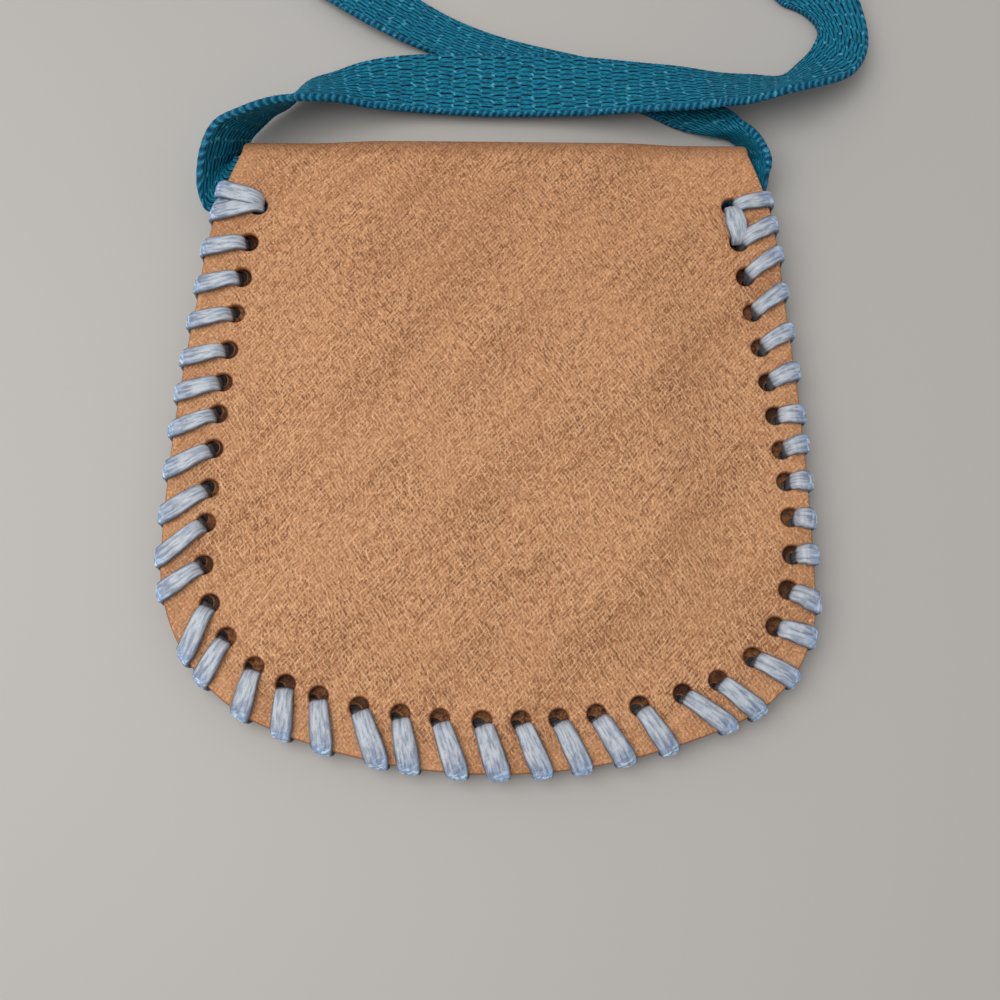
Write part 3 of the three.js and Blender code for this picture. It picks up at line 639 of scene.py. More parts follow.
def close_cut(name, blocks, grain_below=False):
    """Joins grids into one cut, then closes every open border with half an ellipse that swings
    from the outer face to the inner one and bulges outwards. Returns the piece and its area."""
    outer, inner, flat, quads, tris = weld(blocks)
    count = len(outer)
    ways = open_sides(quads, tris, count)
    rim = np.unique(ways)
    away = outwards(outer, inner, ways)[rim]
    swing = np.pi * np.arange(1, RIM_STEPS + 1) / (RIM_STEPS + 1)
    half = (outer[rim] - inner[rim]) / 2
    walls = ((outer[rim] + inner[rim]) / 2 + half * np.cos(swing)[:, None, None]
             + away * EDGE_ROUND * np.sin(swing)[:, None, None])
    place = np.empty(count, np.int64)
    place[rim] = np.arange(len(rim))
    levels = [ways] + [2 * count + k * len(rim) + place[ways] for k in range(RIM_STEPS)] + [ways + count]
    wall_quads = [np.stack([a[:, 1], a[:, 0], b[:, 0], b[:, 1]], -1) for a, b in zip(levels, levels[1:])]
    faces = (quads.tolist() + (quads[:, ::-1] + count).tolist() + tris.tolist()
             + (tris[:, ::-1] + count).tolist() + np.concatenate(wall_quads).tolist())
    points = np.concatenate([outer, inner, walls.reshape(-1, 3)])
    flats = np.concatenate([flat, flat] + [flat[rim]] * RIM_STEPS)
    flesh = np.concatenate([np.zeros(count), np.ones(count), np.repeat(swing / np.pi, len(rim))])
    flesh = 1 - flesh if grain_below else flesh
    cut = np.concatenate([np.zeros(2 * count), np.repeat(np.sin(swing) ** 0.5, len(rim))])
    border = ease(1 - from_seam(*flats.T) / BORDER)
    side_lengths = np.linalg.norm(outer[quads] - outer[np.roll(quads, 1, axis=1)], axis=2)
    area = np.linalg.norm(np.cross(outer[quads[:, 2]] - outer[quads[:, 0]],
                                   outer[quads[:, 3]] - outer[quads[:, 1]]), axis=1).sum() / 2
    print(name, "covers", round(area / 100, 1), "square cm, longest step", round(side_lengths.max(), 2))
    piece = make_piece(name, points, faces, flats / LEATHER_UV + 0.5, flesh=flesh, cut=cut, border=border)
    return piece, area


# %% [markdown]
# ## The hide: back, fold and flap
# The back and the flap are one cut. The skin runs up the back, round the fold in two quarter
# turns with a short wall between them, and down under the purse as the flap. It is one closed
# mesh over the two solids of the model, so it shows no split.

# %% Hide
FOLD_RADIUS, FLAP_RADIUS = 3.2, 3.8
FLAP_HALF_WIDTH, FLAP_CORNER, FLAP_END_RADIUS = 49.5, 27.0, 105.0
FOLD_STEPS, WALL_STEPS, FLAP_STEPS = 6, 2, 34
HIDE_STEPS = (12, 12, 72)
GAUGE_COLUMN, NARROWING = 60, 1.3


def lifted(grid, outer_height, inner_height):
    """A flat grid with the heights of its two faces, and its own place on the pattern."""
    x, y = grid[..., 0], grid[..., 1]
    return (np.stack([x, y, outer_height(x, y)], -1), np.stack([x, y, inner_height(x, y)], -1), grid)


hide_grids, top_row = panel_grids(-FOLD_RADIUS, *HIDE_STEPS, holes, HOLE_DIAMETER)
hide_blocks = [lifted(g, back_top, lambda x, y: back_top(x, y) - LEATHER) for g in hide_grids]
row_top = back_top(top_row[:, 0], top_row[:, 1])
quarter = np.linspace(0, np.pi / 2, FOLD_STEPS + 1)
drop = np.linspace(0, 1, WALL_STEPS + 1)[1:-1, None]


def fold_face(inside):
    """Rows round the fold: a quarter circle over the top, a straight wall, and a wider
    quarter circle down to the table. inside is how deep the face lies in the leather."""
    r, q = FOLD_RADIUS - inside, FLAP_RADIUS - inside
    over_y, over_z = -FOLD_RADIUS + r * np.sin(quarter), -FOLD_RADIUS + r * np.cos(quarter)
    under_y, under_z = -FLAP_RADIUS + q * np.cos(quarter), FLAP_RADIUS - q * np.sin(quarter)
    z = np.concatenate([row_top + over_z[:, None],
                        (row_top - FOLD_RADIUS) * (1 - drop) + FLAP_RADIUS * drop,
                        under_z[:, None] + 0 * row_top])
    y = np.concatenate([over_y, np.full(len(drop), -inside), under_y])[:, None] + 0 * row_top
    return y, z


outer_y, outer_z = fold_face(0)
inner_y, inner_z = fold_face(LEATHER)
gauge = np.stack([outer_y[:, GAUGE_COLUMN], outer_z[:, GAUGE_COLUMN]], -1)
fold_flat = -FOLD_RADIUS + walked(gauge)
drawn = ease(np.linspace(0, 1, len(fold_flat)) ** NARROWING)
narrowed = 1 - (1 - FLAP_HALF_WIDTH / top_row[-1, 0]) * drawn
fold_x = top_row[:, 0] * narrowed[:, None]
fold_block = (np.stack([fold_x, outer_y, outer_z], -1), np.stack([fold_x, inner_y, inner_z], -1),
              np.stack([fold_x, fold_flat[:, None] + 0 * fold_x], -1))
print("round the fold", round(fold_flat[-1], 1), "mm")

# %% Flap
flap_x = FLAP_HALF_WIDTH - FLAP_CORNER
flap_y = FLAP_END_RADIUS - FLAP_LENGTH
flap_corner_y = flap_y - np.sqrt((FLAP_END_RADIUS - FLAP_CORNER) ** 2 - flap_x ** 2)
flap_join = np.arctan2(flap_corner_y - flap_y, flap_x)
half_flap = np.concatenate([
    [[fold_x[-1, -1], -FLAP_RADIUS]],
    arc(flap_x, flap_corner_y, FLAP_CORNER - EDGE_ROUND, 0, flap_join),
    arc(0, flap_y, FLAP_END_RADIUS - EDGE_ROUND, flap_join, -np.pi / 2)])
flap_right = spaced(half_flap, FLAP_STEPS + 1)
reach_left, reach_right = fold_x[-1, 0], fold_x[-1, -1]
flap_share = (fold_x[-1] - reach_left) / (reach_right - reach_left)
flap_left = flap_right * [reach_left / reach_right, 1]
flap_grid = flap_left[:, None] + (flap_right - flap_left)[:, None] * flap_share[None, :, None]
flap_pattern = np.stack([flap_grid[..., 0], fold_flat[-1] - FLAP_RADIUS - flap_grid[..., 1]], -1)
flap_block = (np.dstack([flap_grid, 0 * flap_grid[..., :1]]),
              np.dstack([flap_grid, 0 * flap_grid[..., :1] + LEATHER]), flap_pattern)
hide_blocks += [tuple(part[:, ::-1] for part in fold_block), tuple(part[:, ::-1] for part in flap_block)]
hide, hide_area = close_cut("purse_hide", hide_blocks)

# %% [markdown]
# ## The front panel
# The front is the second cut. It has the back's outline but stops short of the fold, which
# leaves the mouth. It lies underneath, so it takes the same grids with fewer steps. Its holes
# were pulled towards the edge by the lace and closed up a little round it.

# %% Front panel
MOUTH_DROP = 12.0
FRONT_HOLE, FRONT_STEPS = 3.2, (8, 8, 44)
front_grids, _ = panel_grids(-MOUTH_DROP, *FRONT_STEPS, dragged, FRONT_HOLE)
front_blocks = [lifted(g, lambda x, y: front_under(x, y) + LEATHER, front_under) for g in front_grids]
front, front_area = close_cut("front_panel_leather", front_blocks, grain_below=True)

# %% Bodies of the leather
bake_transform(hide)
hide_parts("back_panel", "flap")
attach(front, "pouch")
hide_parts("front_panel")

# %% [markdown]
# ## The lace
# One satin lace is whipped round the seam. It comes up through a hole, crosses the back to the
# edge, turns round it and passes under the front to the next hole. The path is a smooth curve
# through a dozen places for each stitch, worked out for all stitches at once. A bevelled curve
# could follow it, but the lace narrows in the holes and spreads on the back, so a plump flat
# section is carried along it and changes its size on the way. Each stitch leans as far along
# the edge as a hand pulled it, and it lies fuller along the bottom and where it is short. Two
# strands are doubled at the start, and one short strand joins the last two holes.

# %% Where each stitch turns over the edge
LACE_WIDTH, LACE_HOLE_WIDTH, LACE_THICKNESS = 4.1, 3.2, 1.35
STITCH_LEAN = np.array([
    4.4, 4.6, 4.7, 4.7, 5.1, 4.8, 4.7, 5.4, 6.8, 7.7, 6.1, 9.5, 5, 5, 3.9, 4, 6.7, 4.4, 5.3, 4.7,
    4.7, 3.9, 4, 4.3, 8.3, 6.3, 4.2, 2.2, -.4, 1.7, 1.1, 1.2, 1.4, -.2, 1.5, 2.6, 3.7, 3.7, 2.6, .7])
stitch_at = hole_foot - HOLE_STRAY + STITCH_LEAN
stitch_edge, stitch_out = on_seam(seam_edge, stitch_at), unit(on_seam(seam_out, stitch_at))
stitch_side = unit(stitch_edge - holes)
stitch_length = np.linalg.norm(stitch_edge - holes, axis=1)
print("stitches cross", round(float(stitch_length.mean()), 1), "mm on average")

# %% Places along the lace
LACE_SEED = 7
chance = np.random.default_rng(LACE_SEED)
LIFT = LACE_THICKNESS / 2 + 0.12
WRAP = LACE_THICKNESS / 2 + 0.1
RISE, START_RISE = 1.15, -0.6
RIM_STEP, FIRST_STEP = 0.45, 1.65
MID_SHARE, MID_CLEAR, EDGE_CLEAR = 0.62, 1.3, 0.7
THIN_SHARE = 0.85
LAST_REACH = 7.0
SIDE_FULL, BOTTOM_FULL = 0.92, 0.2
SHORT_FROM, SHORT_OVER, SHORT_FULL = 9.0, 4.0, 0.14
UNEVEN_WIDTH, UNEVEN_HEIGHT = (0.95, 1.05), (-0.05, 0.12)


def height_at(points, face):
    """Height of a face at points in the plane."""
    return face(points[..., 0], points[..., 1])


def station(place, z, facing, lift, width, thickness, turn=0.0):
    """A place on the lace, the way its flat side faces, its size, and its turn: 1 where it
    goes round the edge, -1 where it goes down a hole."""
    z = np.broadcast_to(z, place.shape[:1])
    up = unit(np.column_stack([facing, np.full(len(place), float(lift))]))
    size = np.broadcast_to([width, thickness, turn], (len(place), 3))
    return np.column_stack([place, z, up, size])


def stitches(hole, low, edge, out, after, rise):
    """Twelve places for each stitch: up through the hole, over the back, round the edge and
    under the front to the hole after it. rise is how far past its middle it leaves the hole."""
    side = unit(edge - hole)
    far = np.linalg.norm(edge - hole, axis=1)[:, None]
    back = unit(after - edge)
    top, edge_top = height_at(hole, back_top), height_at(edge, back_top)
    under, edge_under = height_at(after, front_under), height_at(edge, front_under)
    half_way = np.minimum(far * MID_SHARE, far - MID_CLEAR)
    mid = hole + side * half_way
    first = hole + side * np.minimum(rise + FIRST_STEP, (rise + RIM_STEP + half_way) / 2)
    rim, near_edge = hole + side * (rise + RIM_STEP), edge - side * EDGE_CLEAR
    thick, thin = LACE_THICKNESS, LACE_THICKNESS * THIN_SHARE
    rows = [
        station(low, height_at(hole, front_under) + 0.6, -side, 0, LACE_HOLE_WIDTH, thin, -1.0),
        station(hole + side * rise, top - 1.0, -side, 0.05, LACE_HOLE_WIDTH, thin, -1.0),
        station(rim, top + 0.1, -side, 1.2, LACE_HOLE_WIDTH + 0.4, thick, -0.45),
        station(first, height_at(first, back_top) + LIFT + 0.12, side * 0, 1, LACE_WIDTH - 0.5, thick),
        station(mid, height_at(mid, back_top) + LIFT + 0.1, side * 0, 1, LACE_WIDTH, thick),
        station(near_edge, edge_top + LIFT, out * 0.25, 1, LACE_WIDTH + 0.1, thick, 0.4),
        station(edge + out * WRAP * 0.75, edge_top - 0.35, out, 0.8, LACE_WIDTH - 0.4, thin, 1.0),
        station(edge + out * WRAP, (edge_top + edge_under) / 2, out, 0, LACE_WIDTH - 1.2, thin, 1.0),
        station(edge + out * WRAP * 0.75, edge_under + 0.35, out, -0.8, LACE_WIDTH - 0.2, thin),
        station(edge + back * 1.2, edge_under - LIFT, out * 0.2, -1, LACE_WIDTH, thin),
        station((edge + after) / 2, (edge_under + under) / 2 - LIFT, out * 0, -1, LACE_WIDTH, thin),
        station(after - back * 1.4, under - LIFT * 0.7, -back * 0.5, -1, LACE_HOLE_WIDTH + 0.4, thin)]
    return np.stack(rows, 1)


after = np.vstack([dragged[1:], holes[-1:] - stitch_side[-1:] * LAST_REACH])
rise = np.where(np.arange(HOLES) == 0, START_RISE, RISE)[:, None]
lace_rows = stitches(holes, dragged, stitch_edge, stitch_out, after, rise)
full = SIDE_FULL + BOTTOM_FULL * np.sin(np.pi * np.arange(HOLES) / (HOLES - 1)) ** 4
lace_rows[:, 2:9, 6] *= full[:, None] * chance.uniform(*UNEVEN_WIDTH, (HOLES, 1))
short = np.clip((SHORT_FROM - stitch_length) / SHORT_OVER, 0, 1)
lace_rows[:, 2:8, 6] *= 1 + SHORT_FULL * short[:, None]
lace_rows[:, 3:6, 2] += chance.uniform(*UNEVEN_HEIGHT, (HOLES, 1))
print(lace_rows.shape[0] * lace_rows.shape[1], "places on the lace")

# %% Strands at the two ends
START_TURNS = np.array([[-59.9, -13.0], [-61.1, -16.6]])
START_SHIFTS, START_LIFTS = [[0.2, 1.0], [0.0, 0.2]], [[0.4], [-0.7]]
start_at = foot_of(START_TURNS)
start_edge, start_out = on_seam(seam_edge, start_at), unit(on_seam(seam_out, start_at))
start_hole, start_low = holes[:1] + START_SHIFTS, np.repeat(dragged[:1], 2, 0)
start_rows = stitches(start_hole, start_low, start_edge, start_out, start_low, START_RISE)[:, 1:9]
start_rows[:, 2:6, 2] += START_LIFTS
last, before = holes[-1:], holes[-2:-1]
end_side = unit(before - last)


def end_station(place, push, way, lift, rise, width):
    """A place on the short strand that joins the last two holes."""
    z = height_at(place, back_top) + rise
    return station(place + end_side * push, z, end_side * way, lift, width, LACE_THICKNESS)


end_rows = np.stack([
    end_station(last, 0.5, -1, 0, -1.4, LACE_HOLE_WIDTH),
    end_station(last, 0.9, -1, 1, 0.3, LACE_WIDTH - 0.6),
    end_station((last + before) / 2, 0, 0, 1, LIFT + 0.35, LACE_WIDTH + 0.6),
    end_station(before, -0.9, 1, 1, 0.3, LACE_WIDTH - 0.6),
    end_station(before, -0.5, 1, 0, -1.4, LACE_HOLE_WIDTH)], 1)
print(len(start_rows) + len(end_rows), "strands more at the two ends")

# %% Lace
LACE_SIDES, LACE_STEPS = 26, 5
LACE_UV = 100.0
SIDE_POWER, FACE_POWER = 0.7, 0.75
FOLDS = [(0.06, 5, 1, 3.1), (0.045, 9, -1, 2.3)]
FOLD_SEED = 1.7


def carried(rows, seed):
    """A plump flat section carried along a smooth curve through the rows. The section is a
    rounded oblong with a few shallow lengthwise folds that drift along the lace. Each fold is
    a wave with its depth, its count across, the way it drifts and how fast."""
    knots = knots_of(rows[:, :3])
    at = np.interp(np.arange((len(rows) - 1) * LACE_STEPS + 1) / LACE_STEPS, np.arange(len(rows)), knots)
    place = spline(knots, rows[:, :3], at)
    up = spline(knots, rows[:, 3:6], at)
    along = unit(np.gradient(place, axis=0))
    wide_way = unit(np.cross(along, up))
    up = unit(np.cross(wide_way, along))
    size = read_at(at, knots, rows[:, 6:8]) / 2
    angle = np.arange(LACE_SIDES) * 2 * np.pi / LACE_SIDES
    c, s = np.cos(angle), np.sin(angle)
    out, high = np.sign(c) * np.abs(c) ** SIDE_POWER, np.sign(s) * np.abs(s) ** FACE_POWER
    run = walked(place)[:, None]
    folds = 1 + sum(depth * np.sin(count * out + way * (seed + run / length))
                    for depth, count, way, length in FOLDS)
    points = (place[:, None] + (size[:, :1] * out)[..., None] * wide_way[:, None]
              + (size[:, 1:] * high * folds)[..., None] * up[:, None])
    flat = np.stack([np.broadcast_to(run, (len(at), LACE_SIDES)),
                     np.broadcast_to(out * LACE_WIDTH / 2, (len(at), LACE_SIDES))], -1)
    turn = np.repeat(np.interp(at, knots, rows[:, 8]), LACE_SIDES)
    return points.reshape(-1, 3), flat.reshape(-1, 2) / LACE_UV, turn, len(at)


strands = [lace_rows.reshape(-1, 9)] + list(start_rows) + list(end_rows)
made = [carried(rows, FOLD_SEED * number) for number, rows in enumerate(strands)]
lace_points, lace_flat, lace_turn = [np.concatenate([strand[i] for strand in made]) for i in range(3)]
lace_points[:, 2] = np.maximum(lace_points[:, 2], 0)
bases = np.cumsum([0] + [len(strand[0]) for strand in made])
lace_faces = [[base + corner for corner in face]
              for base, strand in zip(bases, made) for face in ring_faces(strand[3], LACE_SIDES)]
lace = make_piece("edge_lacing", lace_points, lace_faces, lace_flat, turn=lace_turn)
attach(lace, "pouch")
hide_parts("edge_lace")

# %% [markdown]
# ## Finishes
# Each finish is a small network of procedural nodes on the piece's own flat pattern, so that
# the grain follows the hide round the fold and the fibres follow the lace and the strap. Wiring
# nodes one by one hides what they do, so a small class stands for a number at every place of
# the pattern, and sums of such fields are written as sums.


# %% Fields
class Field:
    """A number or a colour at every place of a finish, held by the socket that gives it."""

    def __init__(self, tree, socket):
        self.tree = tree
        self.socket = socket

    def reckon(self, operation, second=0.0, third=0.0):
        """This number, with one or two others, put through a Math node."""
        inputs = [(0, self), (1, second), (2, third)]
        return Field(self.tree, add(self.tree, "ShaderNodeMath", inputs, operation=operation).outputs[0])

    def __add__(self, other):
        return self.reckon("ADD", other)

    def __sub__(self, other):
        return self.reckon("SUBTRACT", other)

    def __mul__(self, other):
        return self.reckon("MULTIPLY", other)

    def __truediv__(self, other):
        return self.reckon("DIVIDE", other)

    def __abs__(self):
        return self.reckon("ABSOLUTE")

    def most(self, other):
        """The greater of this number and another."""
        return self.reckon("MAXIMUM", other)

    def steps(self, low, high, to_low=0.0, to_high=1.0):
        """The number eased from one range to another."""
        inputs = [("Value", self), ("From Min", low), ("From Max", high),
                  ("To Min", to_low), ("To Max", to_high)]
        node = add(self.tree, "ShaderNodeMapRange", inputs, interpolation_type="SMOOTHSTEP")
        return Field(self.tree, node.outputs["Result"])


def fill(node, inputs):
    """Each socket of a node gets its value, or the field that feeds it."""
    for key, value in inputs:
        if isinstance(value, Field):
            value.tree.links.new(value.socket, node.inputs[key])
        else:
            node.inputs[key].default_value = value


def add(tree, kind, inputs=(), **settings):
    """One new node with its settings and its inputs."""
    node = tree.nodes.new(kind)
    for key, value in settings.items():
        setattr(node, key, value)
    fill(node, inputs)
    return node


# %% A finish and what it is mixed from
class Finish:
    """A material for pieces whose flat pattern is scale millimetres wide."""

    def __init__(self, name, scale=1.0):
        self.material = bpy.data.materials.new(name)
        self.material.use_nodes = True
        self.tree = self.material.node_tree
        self.shader = self.tree.nodes["Principled BSDF"]
        self.scale = scale

    def field(self, output, kind, inputs=(), **settings):
        """One output of a new node."""
        return Field(self.tree, add(self.tree, kind, inputs, **settings).outputs[output])

    def flat(self, along, across, turn):
        """The flat pattern in millimetres, turned by degrees and then stretched."""
        uv = self.field(0, "ShaderNodeUVMap", uv_map="flat")
        turned = self.field(0, "ShaderNodeMapping", [("Vector", uv), ("Rotation", (0, 0, np.radians(turn)))])
        stretch = (self.scale * along, self.scale * across, 1)
        return self.field(0, "ShaderNodeMapping", [("Vector", turned), ("Scale", stretch)])

    def place(self, turn=0.0):
        """Millimetres along and across the turned pattern."""
        parts = add(self.tree, "ShaderNodeSeparateXYZ", [("Vector", self.flat(1, 1, turn))]).outputs
        return Field(self.tree, parts[0]), Field(self.tree, parts[1])

    def noise(self, along, across, turn=0.0, detail=3.0, rough=0.55):
        """Cloudy noise from 0 to 1, so many clouds to the millimetre along and across."""
        inputs = [("Vector", self.flat(along, across, turn)), ("Scale", 1.0), ("Detail", detail),
                  ("Roughness", rough)]
        return self.field("Fac", "ShaderNodeTexNoise", inputs)

    def mark(self, name):
        """A number kept on the points of the mesh."""
        return self.field("Fac", "ShaderNodeAttribute", attribute_name=name)

    def layered(self, colour, *layers):
        """A colour with others laid over it, each as far as its own field covers it."""
        for cover, over in layers:
            colour = self.field(2, "ShaderNodeMix", [(0, cover), (6, colour), (7, over)], data_type="RGBA")
        return colour

    def paint(self, colour, relief, strength, depth, rough, gloss):
        """Colour, bump and gloss to the shader. depth is the height of the bump in metres."""
        bump = [("Strength", strength), ("Distance", depth), ("Height", relief)]
        fill(self.shader, [("Base Color", colour), ("Normal", self.field(0, "ShaderNodeBump", bump)),
                           ("Roughness", rough), ("Specular IOR Level", gloss)])


# %% [markdown]
# ## Leather
# The hide is natural tan leather, matt, with a fine diamond grain: short pale creases cross at
# a steep slant, and dark furrows and pores lie in the cells between them. Each set of creases is
# evenly spaced lines that a noise bends and breaks, stronger in some patches than in others and
# fainter near the fold and the laced border. Soft darker streaks run across the hide, its
# wrinkles are drawn as painted shade, and a band along the fold is darkened as painted shade.
# The inner face is darker and fibrous, and its tones are kept dark and near black in patches as
# painted shade for the holes that show it. The cut edge is rough and more orange. A picture of
# leather would repeat and bring its own light with it, so all of this is drawn by rule.

# %% Leather grain
CREASE_PALE, TAN, TAN_DEEP = (0.96, 0.57, 0.315, 1), (0.51, 0.244, 0.112, 1), (0.35, 0.148, 0.06, 1)
# The second colour here is the painted shade along the fold.
PORE, FOLD_SHADE_TONE = (0.15, 0.05, 0.018, 1), (0.25, 0.105, 0.045, 1)
# Tones of the inner face, kept dark as painted shade for the holes that show it.
FLESH, FLESH_FIBRE_AND_SHADE = (0.28, 0.11, 0.04, 1), (0.05, 0.017, 0.008, 1)
CUT_EDGE, CUT_DEEP = (0.34, 0.13, 0.05, 1), (0.22, 0.075, 0.025, 1)
CREASE_PITCH, CREASE_TURNS = 0.72, (55, -49, 82)
leather = Finish("tan leather", LEATHER_UV)


def creases(turn):
    """Slanting lines bent by noise and broken into short lengths: the pale creases, and the
    dark furrows half way between them where a crease is broken off."""
    bent = leather.noise(0.11, 0.11, 0, 4, 0.62) * 3.0
    bent = bent + leather.noise(0.7, 0.7, 0, 2, 0.5) * 0.8
    off = (leather.place(turn)[1] / CREASE_PITCH + bent).reckon("PINGPONG", 0.5)
    length = leather.noise(0.46, 1.25, turn, 2, 0.5)
    here = leather.noise(0.09, 0.06, turn, 2, 0.5).steps(0.36, 0.56, 0.55, 1.0)
    pale = off.steps(0.02, 0.24, 1.0, 0.0) * length.steps(0.46, 0.6)
    dark = off.steps(0.2, 0.42) * length.steps(0.55, 0.42)
    return pale * here, dark * here


(pale_one, dark_one), (pale_two, dark_two), (pale_three, dark_three) = map(creases, CREASE_TURNS)
from_fold = leather.place()[1] - LEATHER_UV / 2
border = leather.mark("border")
net = pale_one.most(pale_two).most(pale_three * 0.6) * border.steps(0.0, 0.8, 0.8, 0.35)
net = net * from_fold.steps(-15, -70, 0.55, 1.0)
pores = dark_one.most(dark_two).most(dark_three * 0.5) * border.steps(0.0, 0.8, 1.0, 0.45)
pores = pores * leather.noise(0.9, 0.9, 0, 2, 0.5).steps(0.42, 0.58, 0.4, 1.0)
pores = pores * leather.noise(0.045, 0.045, 0, 2, 0.5).steps(0.3, 0.66, 0.7, 1.0)
print("creases every", CREASE_PITCH, "mm, in", len(CREASE_TURNS), "directions")

# %% Leather colour
speckle = leather.noise(1.7, 1.7, 0, 3, 0.65)
patch = leather.noise(0.16, 0.3, -50, 4, 0.6)
streak = leather.noise(0.014, 0.085, -48)
# Painted shade: the wrinkles are darker colour, not shape.
wrinkle_shade = leather.noise(0.03, 0.3, -44, 3, 0.5)
fuzz = leather.noise(0.9, 0.9, 0, 5, 0.7)
# Painted shade: the inner face seen down the holes is darkened in patches, near black.
hole_shade_patches = leather.noise(0.07, 0.07, 0, 2, 0.5).steps(0.4, 0.6, 0.1, 1.0)
# Painted shade: a band along the fold is darkened where the leather curves away.
fold_shade = from_fold.steps(-6, -1.5) * from_fold.steps(12, 6)
flesh_colour = leather.layered(FLESH_FIBRE_AND_SHADE, (fuzz.steps(0.36, 0.6) * hole_shade_patches, FLESH))
cut_colour = leather.layered(CUT_DEEP, (fuzz, CUT_EDGE))
colour = leather.layered(
    TAN,
    (streak.steps(0.46, 0.66, 0.0, 0.65), TAN_DEEP),
    # Painted shade of the wrinkles.
    (wrinkle_shade.steps(0.55, 0.68, 0.0, 0.65), TAN_DEEP),
    (patch.steps(0.5, 0.28, 0.0, 0.5), TAN_DEEP),
    (speckle.steps(0.52, 0.68, 0.0, 0.55), CREASE_PALE),
    (speckle.steps(0.48, 0.3, 0.0, 0.9), TAN_DEEP),
    (pores * 0.85, PORE),
    (net, CREASE_PALE),
    (fold_shade * 0.6, FOLD_SHADE_TONE),
    (leather.mark("flesh").steps(0.8, 0.95), flesh_colour),
    (leather.mark("cut"), cut_colour))
leather.paint(colour, net + speckle * 0.8 - pores, strength=0.8, depth=0.00024,
              rough=speckle.steps(0.3, 0.7, 0.72, 0.56), gloss=0.25)
for piece in (hide, front):
    piece.data.materials.append(leather.material)
print("leather on", hide.name, "and", front.name)

# %% [markdown]
# ## Satin lace
# The lace is a pale grey satin that looks bluer where it turns round the edge, with a soft
# painted shade just before the turn and small painted glints on it. Its long fibres lie along it
# and are too thin to model, so both its colour and its bump are noise drawn out along the lace.
# Painted shade darkens it at its sides and down the holes, and its gloss is broad and soft.

# %% Lace finish
LACE_PALE, LACE_BLUE = (0.46, 0.495, 0.545, 1), (0.23, 0.41, 0.70, 1)
LACE_GREY, LACE_SHADE = (0.215, 0.25, 0.315, 1), (0.035, 0.05, 0.08, 1)
# Colours of the painted shade before the turn and of the painted glints.
LACE_BEND_SHADE, LACE_GLINT = (0.11, 0.155, 0.25, 1), (0.84, 0.91, 0.98, 1)
# Colour of the painted shade where the lace goes down a hole.
LACE_HOLE_SHADE = (0.04, 0.035, 0.035, 1)
satin = Finish("pale blue satin", LACE_UV)
fibre = satin.noise(0.35, 5.0, 0, 4, 0.65)
bunch = satin.noise(0.3, 1.6, 0, 4, 0.6)
crinkle = satin.noise(1.6, 0.7, 14, 4, 0.6)
turning = satin.mark("turn")
# Painted shade: a darker band just before the lace turns round the edge.
shade_before_turn = turning.steps(0.0, 0.22) * turning.steps(0.62, 0.4) * bunch.steps(0.6, 0.4, 0.2, 0.65)
glints = turning.steps(0.2, 0.9) * crinkle.steps(0.49, 0.6, 0.0, 0.85)
from_middle = abs(satin.place()[1])
pale = satin.layered(LACE_PALE, (turning.steps(0.15, 0.8), LACE_BLUE))
colour = satin.layered(
    LACE_GREY,
    (bunch.steps(0.34, 0.6), pale),
    (fibre.steps(0.46, 0.3, 0.0, 0.45), LACE_SHADE),
    (shade_before_turn, LACE_BEND_SHADE),
    (glints, LACE_GLINT),
    # Painted shade at the lace's sides.
    (from_middle.steps(LACE_WIDTH * 0.36, LACE_WIDTH * 0.5, 0.0, 0.8), LACE_SHADE),
    # Painted shade where the lace goes down into a hole.
    (turning.steps(-0.5, -1.0, 0.0, 0.85), LACE_HOLE_SHADE))
satin.paint(colour, fibre * 0.5 + crinkle, strength=0.55, depth=0.0003, rough=0.27, gloss=0.6)
lace.data.materials.append(satin.material)
print("satin on", lace.name)

# %% [markdown]
# ## Webbing
# The strap is dyed teal. Between the floats of one column there is a gap darkened as painted
# shade, widest half way along them and deeper at every second one; the crowns of the floats are
# painted lighter as painted light, and the floats' ends have painted glints. Each float shows its
# fibres, and the ribs of the selvedge have a dark side of painted shade and a painted highlight
# stroke. The same formulas as for the shape find the floats on the flat pattern, which keeps
# colour and relief together.

# %% Webbing floats
# Painted light on the float crowns, and painted shade between the floats.
TEAL_CROWN_LIT, TEAL, TEAL_GAP_SHADE = (0.004, 0.20, 0.31, 1), (0.002, 0.040, 0.085, 1), (0.0005, 0.003, 0.014, 1)
TEAL_EDGE, GLINT = (0.004, 0.105, 0.21, 1), (0.09, 0.42, 0.57, 1)
webbing = Finish("teal webbing", STRAP_UV)
web_along, web_across = webbing.place()


def wrapped(value, shift, period):
    """How far a value, moved on by a shift, is from the nearest whole period."""
    return abs((value + shift).reckon("WRAP", period / 2, -period / 2))


def column(shift):
    """Every other column of the weave: painted shade between floats, every second one deeper, and the
    floats.
    """
    u = wrapped(web_along, shift * FLOAT_LENGTH, 2 * FLOAT_LENGTH)
    pair = wrapped(web_across, shift * YARN_PITCH / 2, 2 * YARN_PITCH)
    v = abs(pair - YARN_PITCH / 2)
    gap_shade = v.steps(YARN_PITCH * 0.24, YARN_PITCH * 0.44) * u.steps(FLOAT_LENGTH * 0.58, FLOAT_LENGTH * 0.3)
    gap_shade = gap_shade * pair.steps(YARN_PITCH * 0.35, YARN_PITCH * 0.65, 0.55, 1.0)
    off_u, off_v = u / FLOAT_REACH, v / YARN_REACH
    dome = (off_u * off_u + off_v * off_v).reckon("MULTIPLY_ADD", -1.0, 1.0)
    return gap_shade, dome.most(0.0).reckon("SQRT")


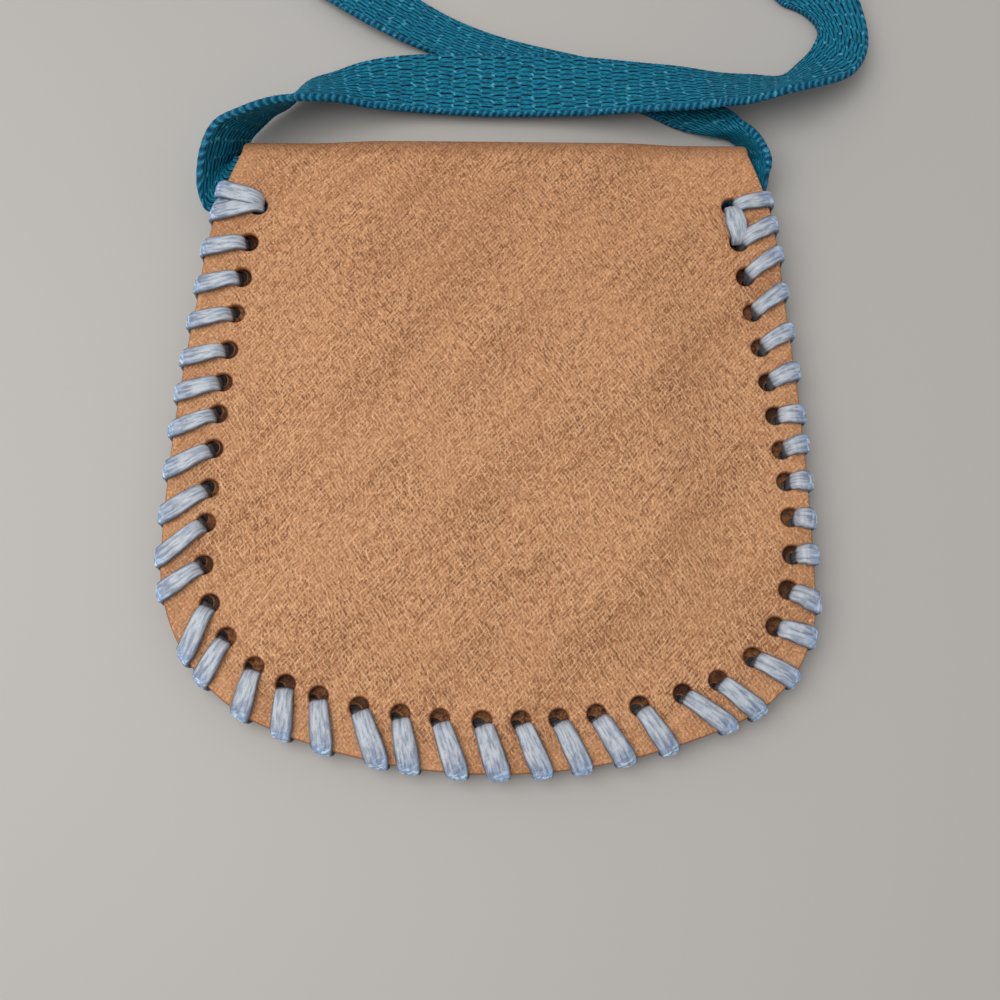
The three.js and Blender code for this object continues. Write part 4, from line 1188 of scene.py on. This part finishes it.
(gap_shade_one, floats_one), (gap_shade_two, floats_two) = column(0), column(1)
gap_shades, crown = gap_shade_one.most(gap_shade_two), floats_one.most(floats_two)
from_middle = abs(web_across)
on_edge = from_middle.steps(FLAT_HALF - 0.2, FLAT_HALF + 0.5)
wave = web_along / LUMP_LENGTH + (from_middle - FLAT_HALF) * LUMP_LEAN
ribs = (wave * (2 * np.pi)).reckon("COSINE")
print("floats", FLOAT_LENGTH, "mm long,", YARN_PITCH, "mm apart")

# %% Webbing colour
fibres = webbing.noise(0.7, 3.6, 14, 3, 0.6)
wear = webbing.noise(0.3, 0.5)
loose = webbing.noise(0.5, 0.9, 0, 2, 0.5)
slant = webbing.noise(0.55, 1.5, -36, 2, 0.5)
# Painted light: the crowns of the floats are coloured lighter.
lit = crown.steps(0.15, 0.9, 0.3, 1.0) * fibres.steps(0.34, 0.6, 0.15, 1.0)
ends = wrapped(web_along, 0.0, FLOAT_LENGTH).steps(FLOAT_LENGTH * 0.22, FLOAT_LENGTH * 0.44)
# Painted glints at the floats' ends.
glints = ends * slant.steps(0.52, 0.68, 0.0, 0.85)
# Painted highlights on the selvedge ribs.
rib_highlights = on_edge * ribs.steps(0.7, 1.0, 0.0, 0.28)
# Painted shade: dark between the floats, and on one side of each selvedge rib.
dark = gap_shades + (ribs.steps(0.2, -0.9, 0.0, 0.65) - gap_shades) * on_edge
dark = dark * loose.steps(0.3, 0.55, 0.5, 1.0)
colour = webbing.layered(
    TEAL,
    (lit, TEAL_CROWN_LIT),
    (wear.steps(0.48, 0.3, 0.0, 0.45), TEAL),
    (on_edge * 0.65, TEAL_EDGE),
    (glints.most(rib_highlights), GLINT),
    (dark, TEAL_GAP_SHADE))
webbing.paint(colour, fibres * 0.4 + crown - dark, strength=0.6, depth=0.0003, rough=0.6, gloss=0.12)
strap.data.materials.append(webbing.material)
print("webbing on", strap.name)

# %% [markdown]
# ## Table and light
# The purse lies on a pale, faintly glossy table. A broad soft lamp hangs above it to the left
# and an even white world fills the shadows. Together they add up to about one, so a colour
# renders much as it is written.

# %% Table
TABLE_HALF, TABLE_DROP = 1500.0, 0.05
TABLE_TONE, TABLE_ROUGH, TABLE_GLOSS = (0.43, 0.412, 0.39, 1), 0.5, 0.3
corners = [[x * TABLE_HALF, y * TABLE_HALF, -TABLE_DROP] for x, y in ((-1, -1), (1, -1), (1, 1), (-1, 1))]
table = make_piece("table", corners, [[0, 1, 2, 3]])
table_top = Finish("pale table")
fill(table_top.shader, [("Base Color", TABLE_TONE), ("Roughness", TABLE_ROUGH),
                        ("Specular IOR Level", TABLE_GLOSS)])
table.data.materials.append(table_top.material)

# %% Light
LAMP_PLACE, LAMP_AIM = np.array([-240.0, -60.0, 520.0]), np.array([0.0, -60.0, 0.0])
LAMP_WATTS, LAMP_SIZE = 2.25, 0.5
ROOM_TONE, ROOM_STRENGTH = (1, 1, 1, 1), 0.58
lamp = bpy.data.lights.new("soft lamp", "AREA")
lamp.energy = LAMP_WATTS
lamp.size = LAMP_SIZE
lamp_back = unit(LAMP_PLACE - LAMP_AIM)
lamp_side = unit(np.cross([0, 1.0, 0], lamp_back))
set_up("soft lamp", lamp, [lamp_side, np.cross(lamp_back, lamp_side), lamp_back], LAMP_PLACE)
world = bpy.data.worlds.new("even room")
world.use_nodes = True
fill(world.node_tree.nodes["Background"], [("Color", ROOM_TONE), ("Strength", ROOM_STRENGTH)])
bpy.context.scene.world = world
bpy.context.scene.view_settings.view_transform = "Standard"
print("lamp", LAMP_WATTS, "W at", LAMP_PLACE)

# %% [markdown]
# ## Last step
# The dressed purse should fill the same box as the solids. At the end the view layer is
# brought up to date.

# %% Bring the view layer up to date
bpy.context.view_layer.update()
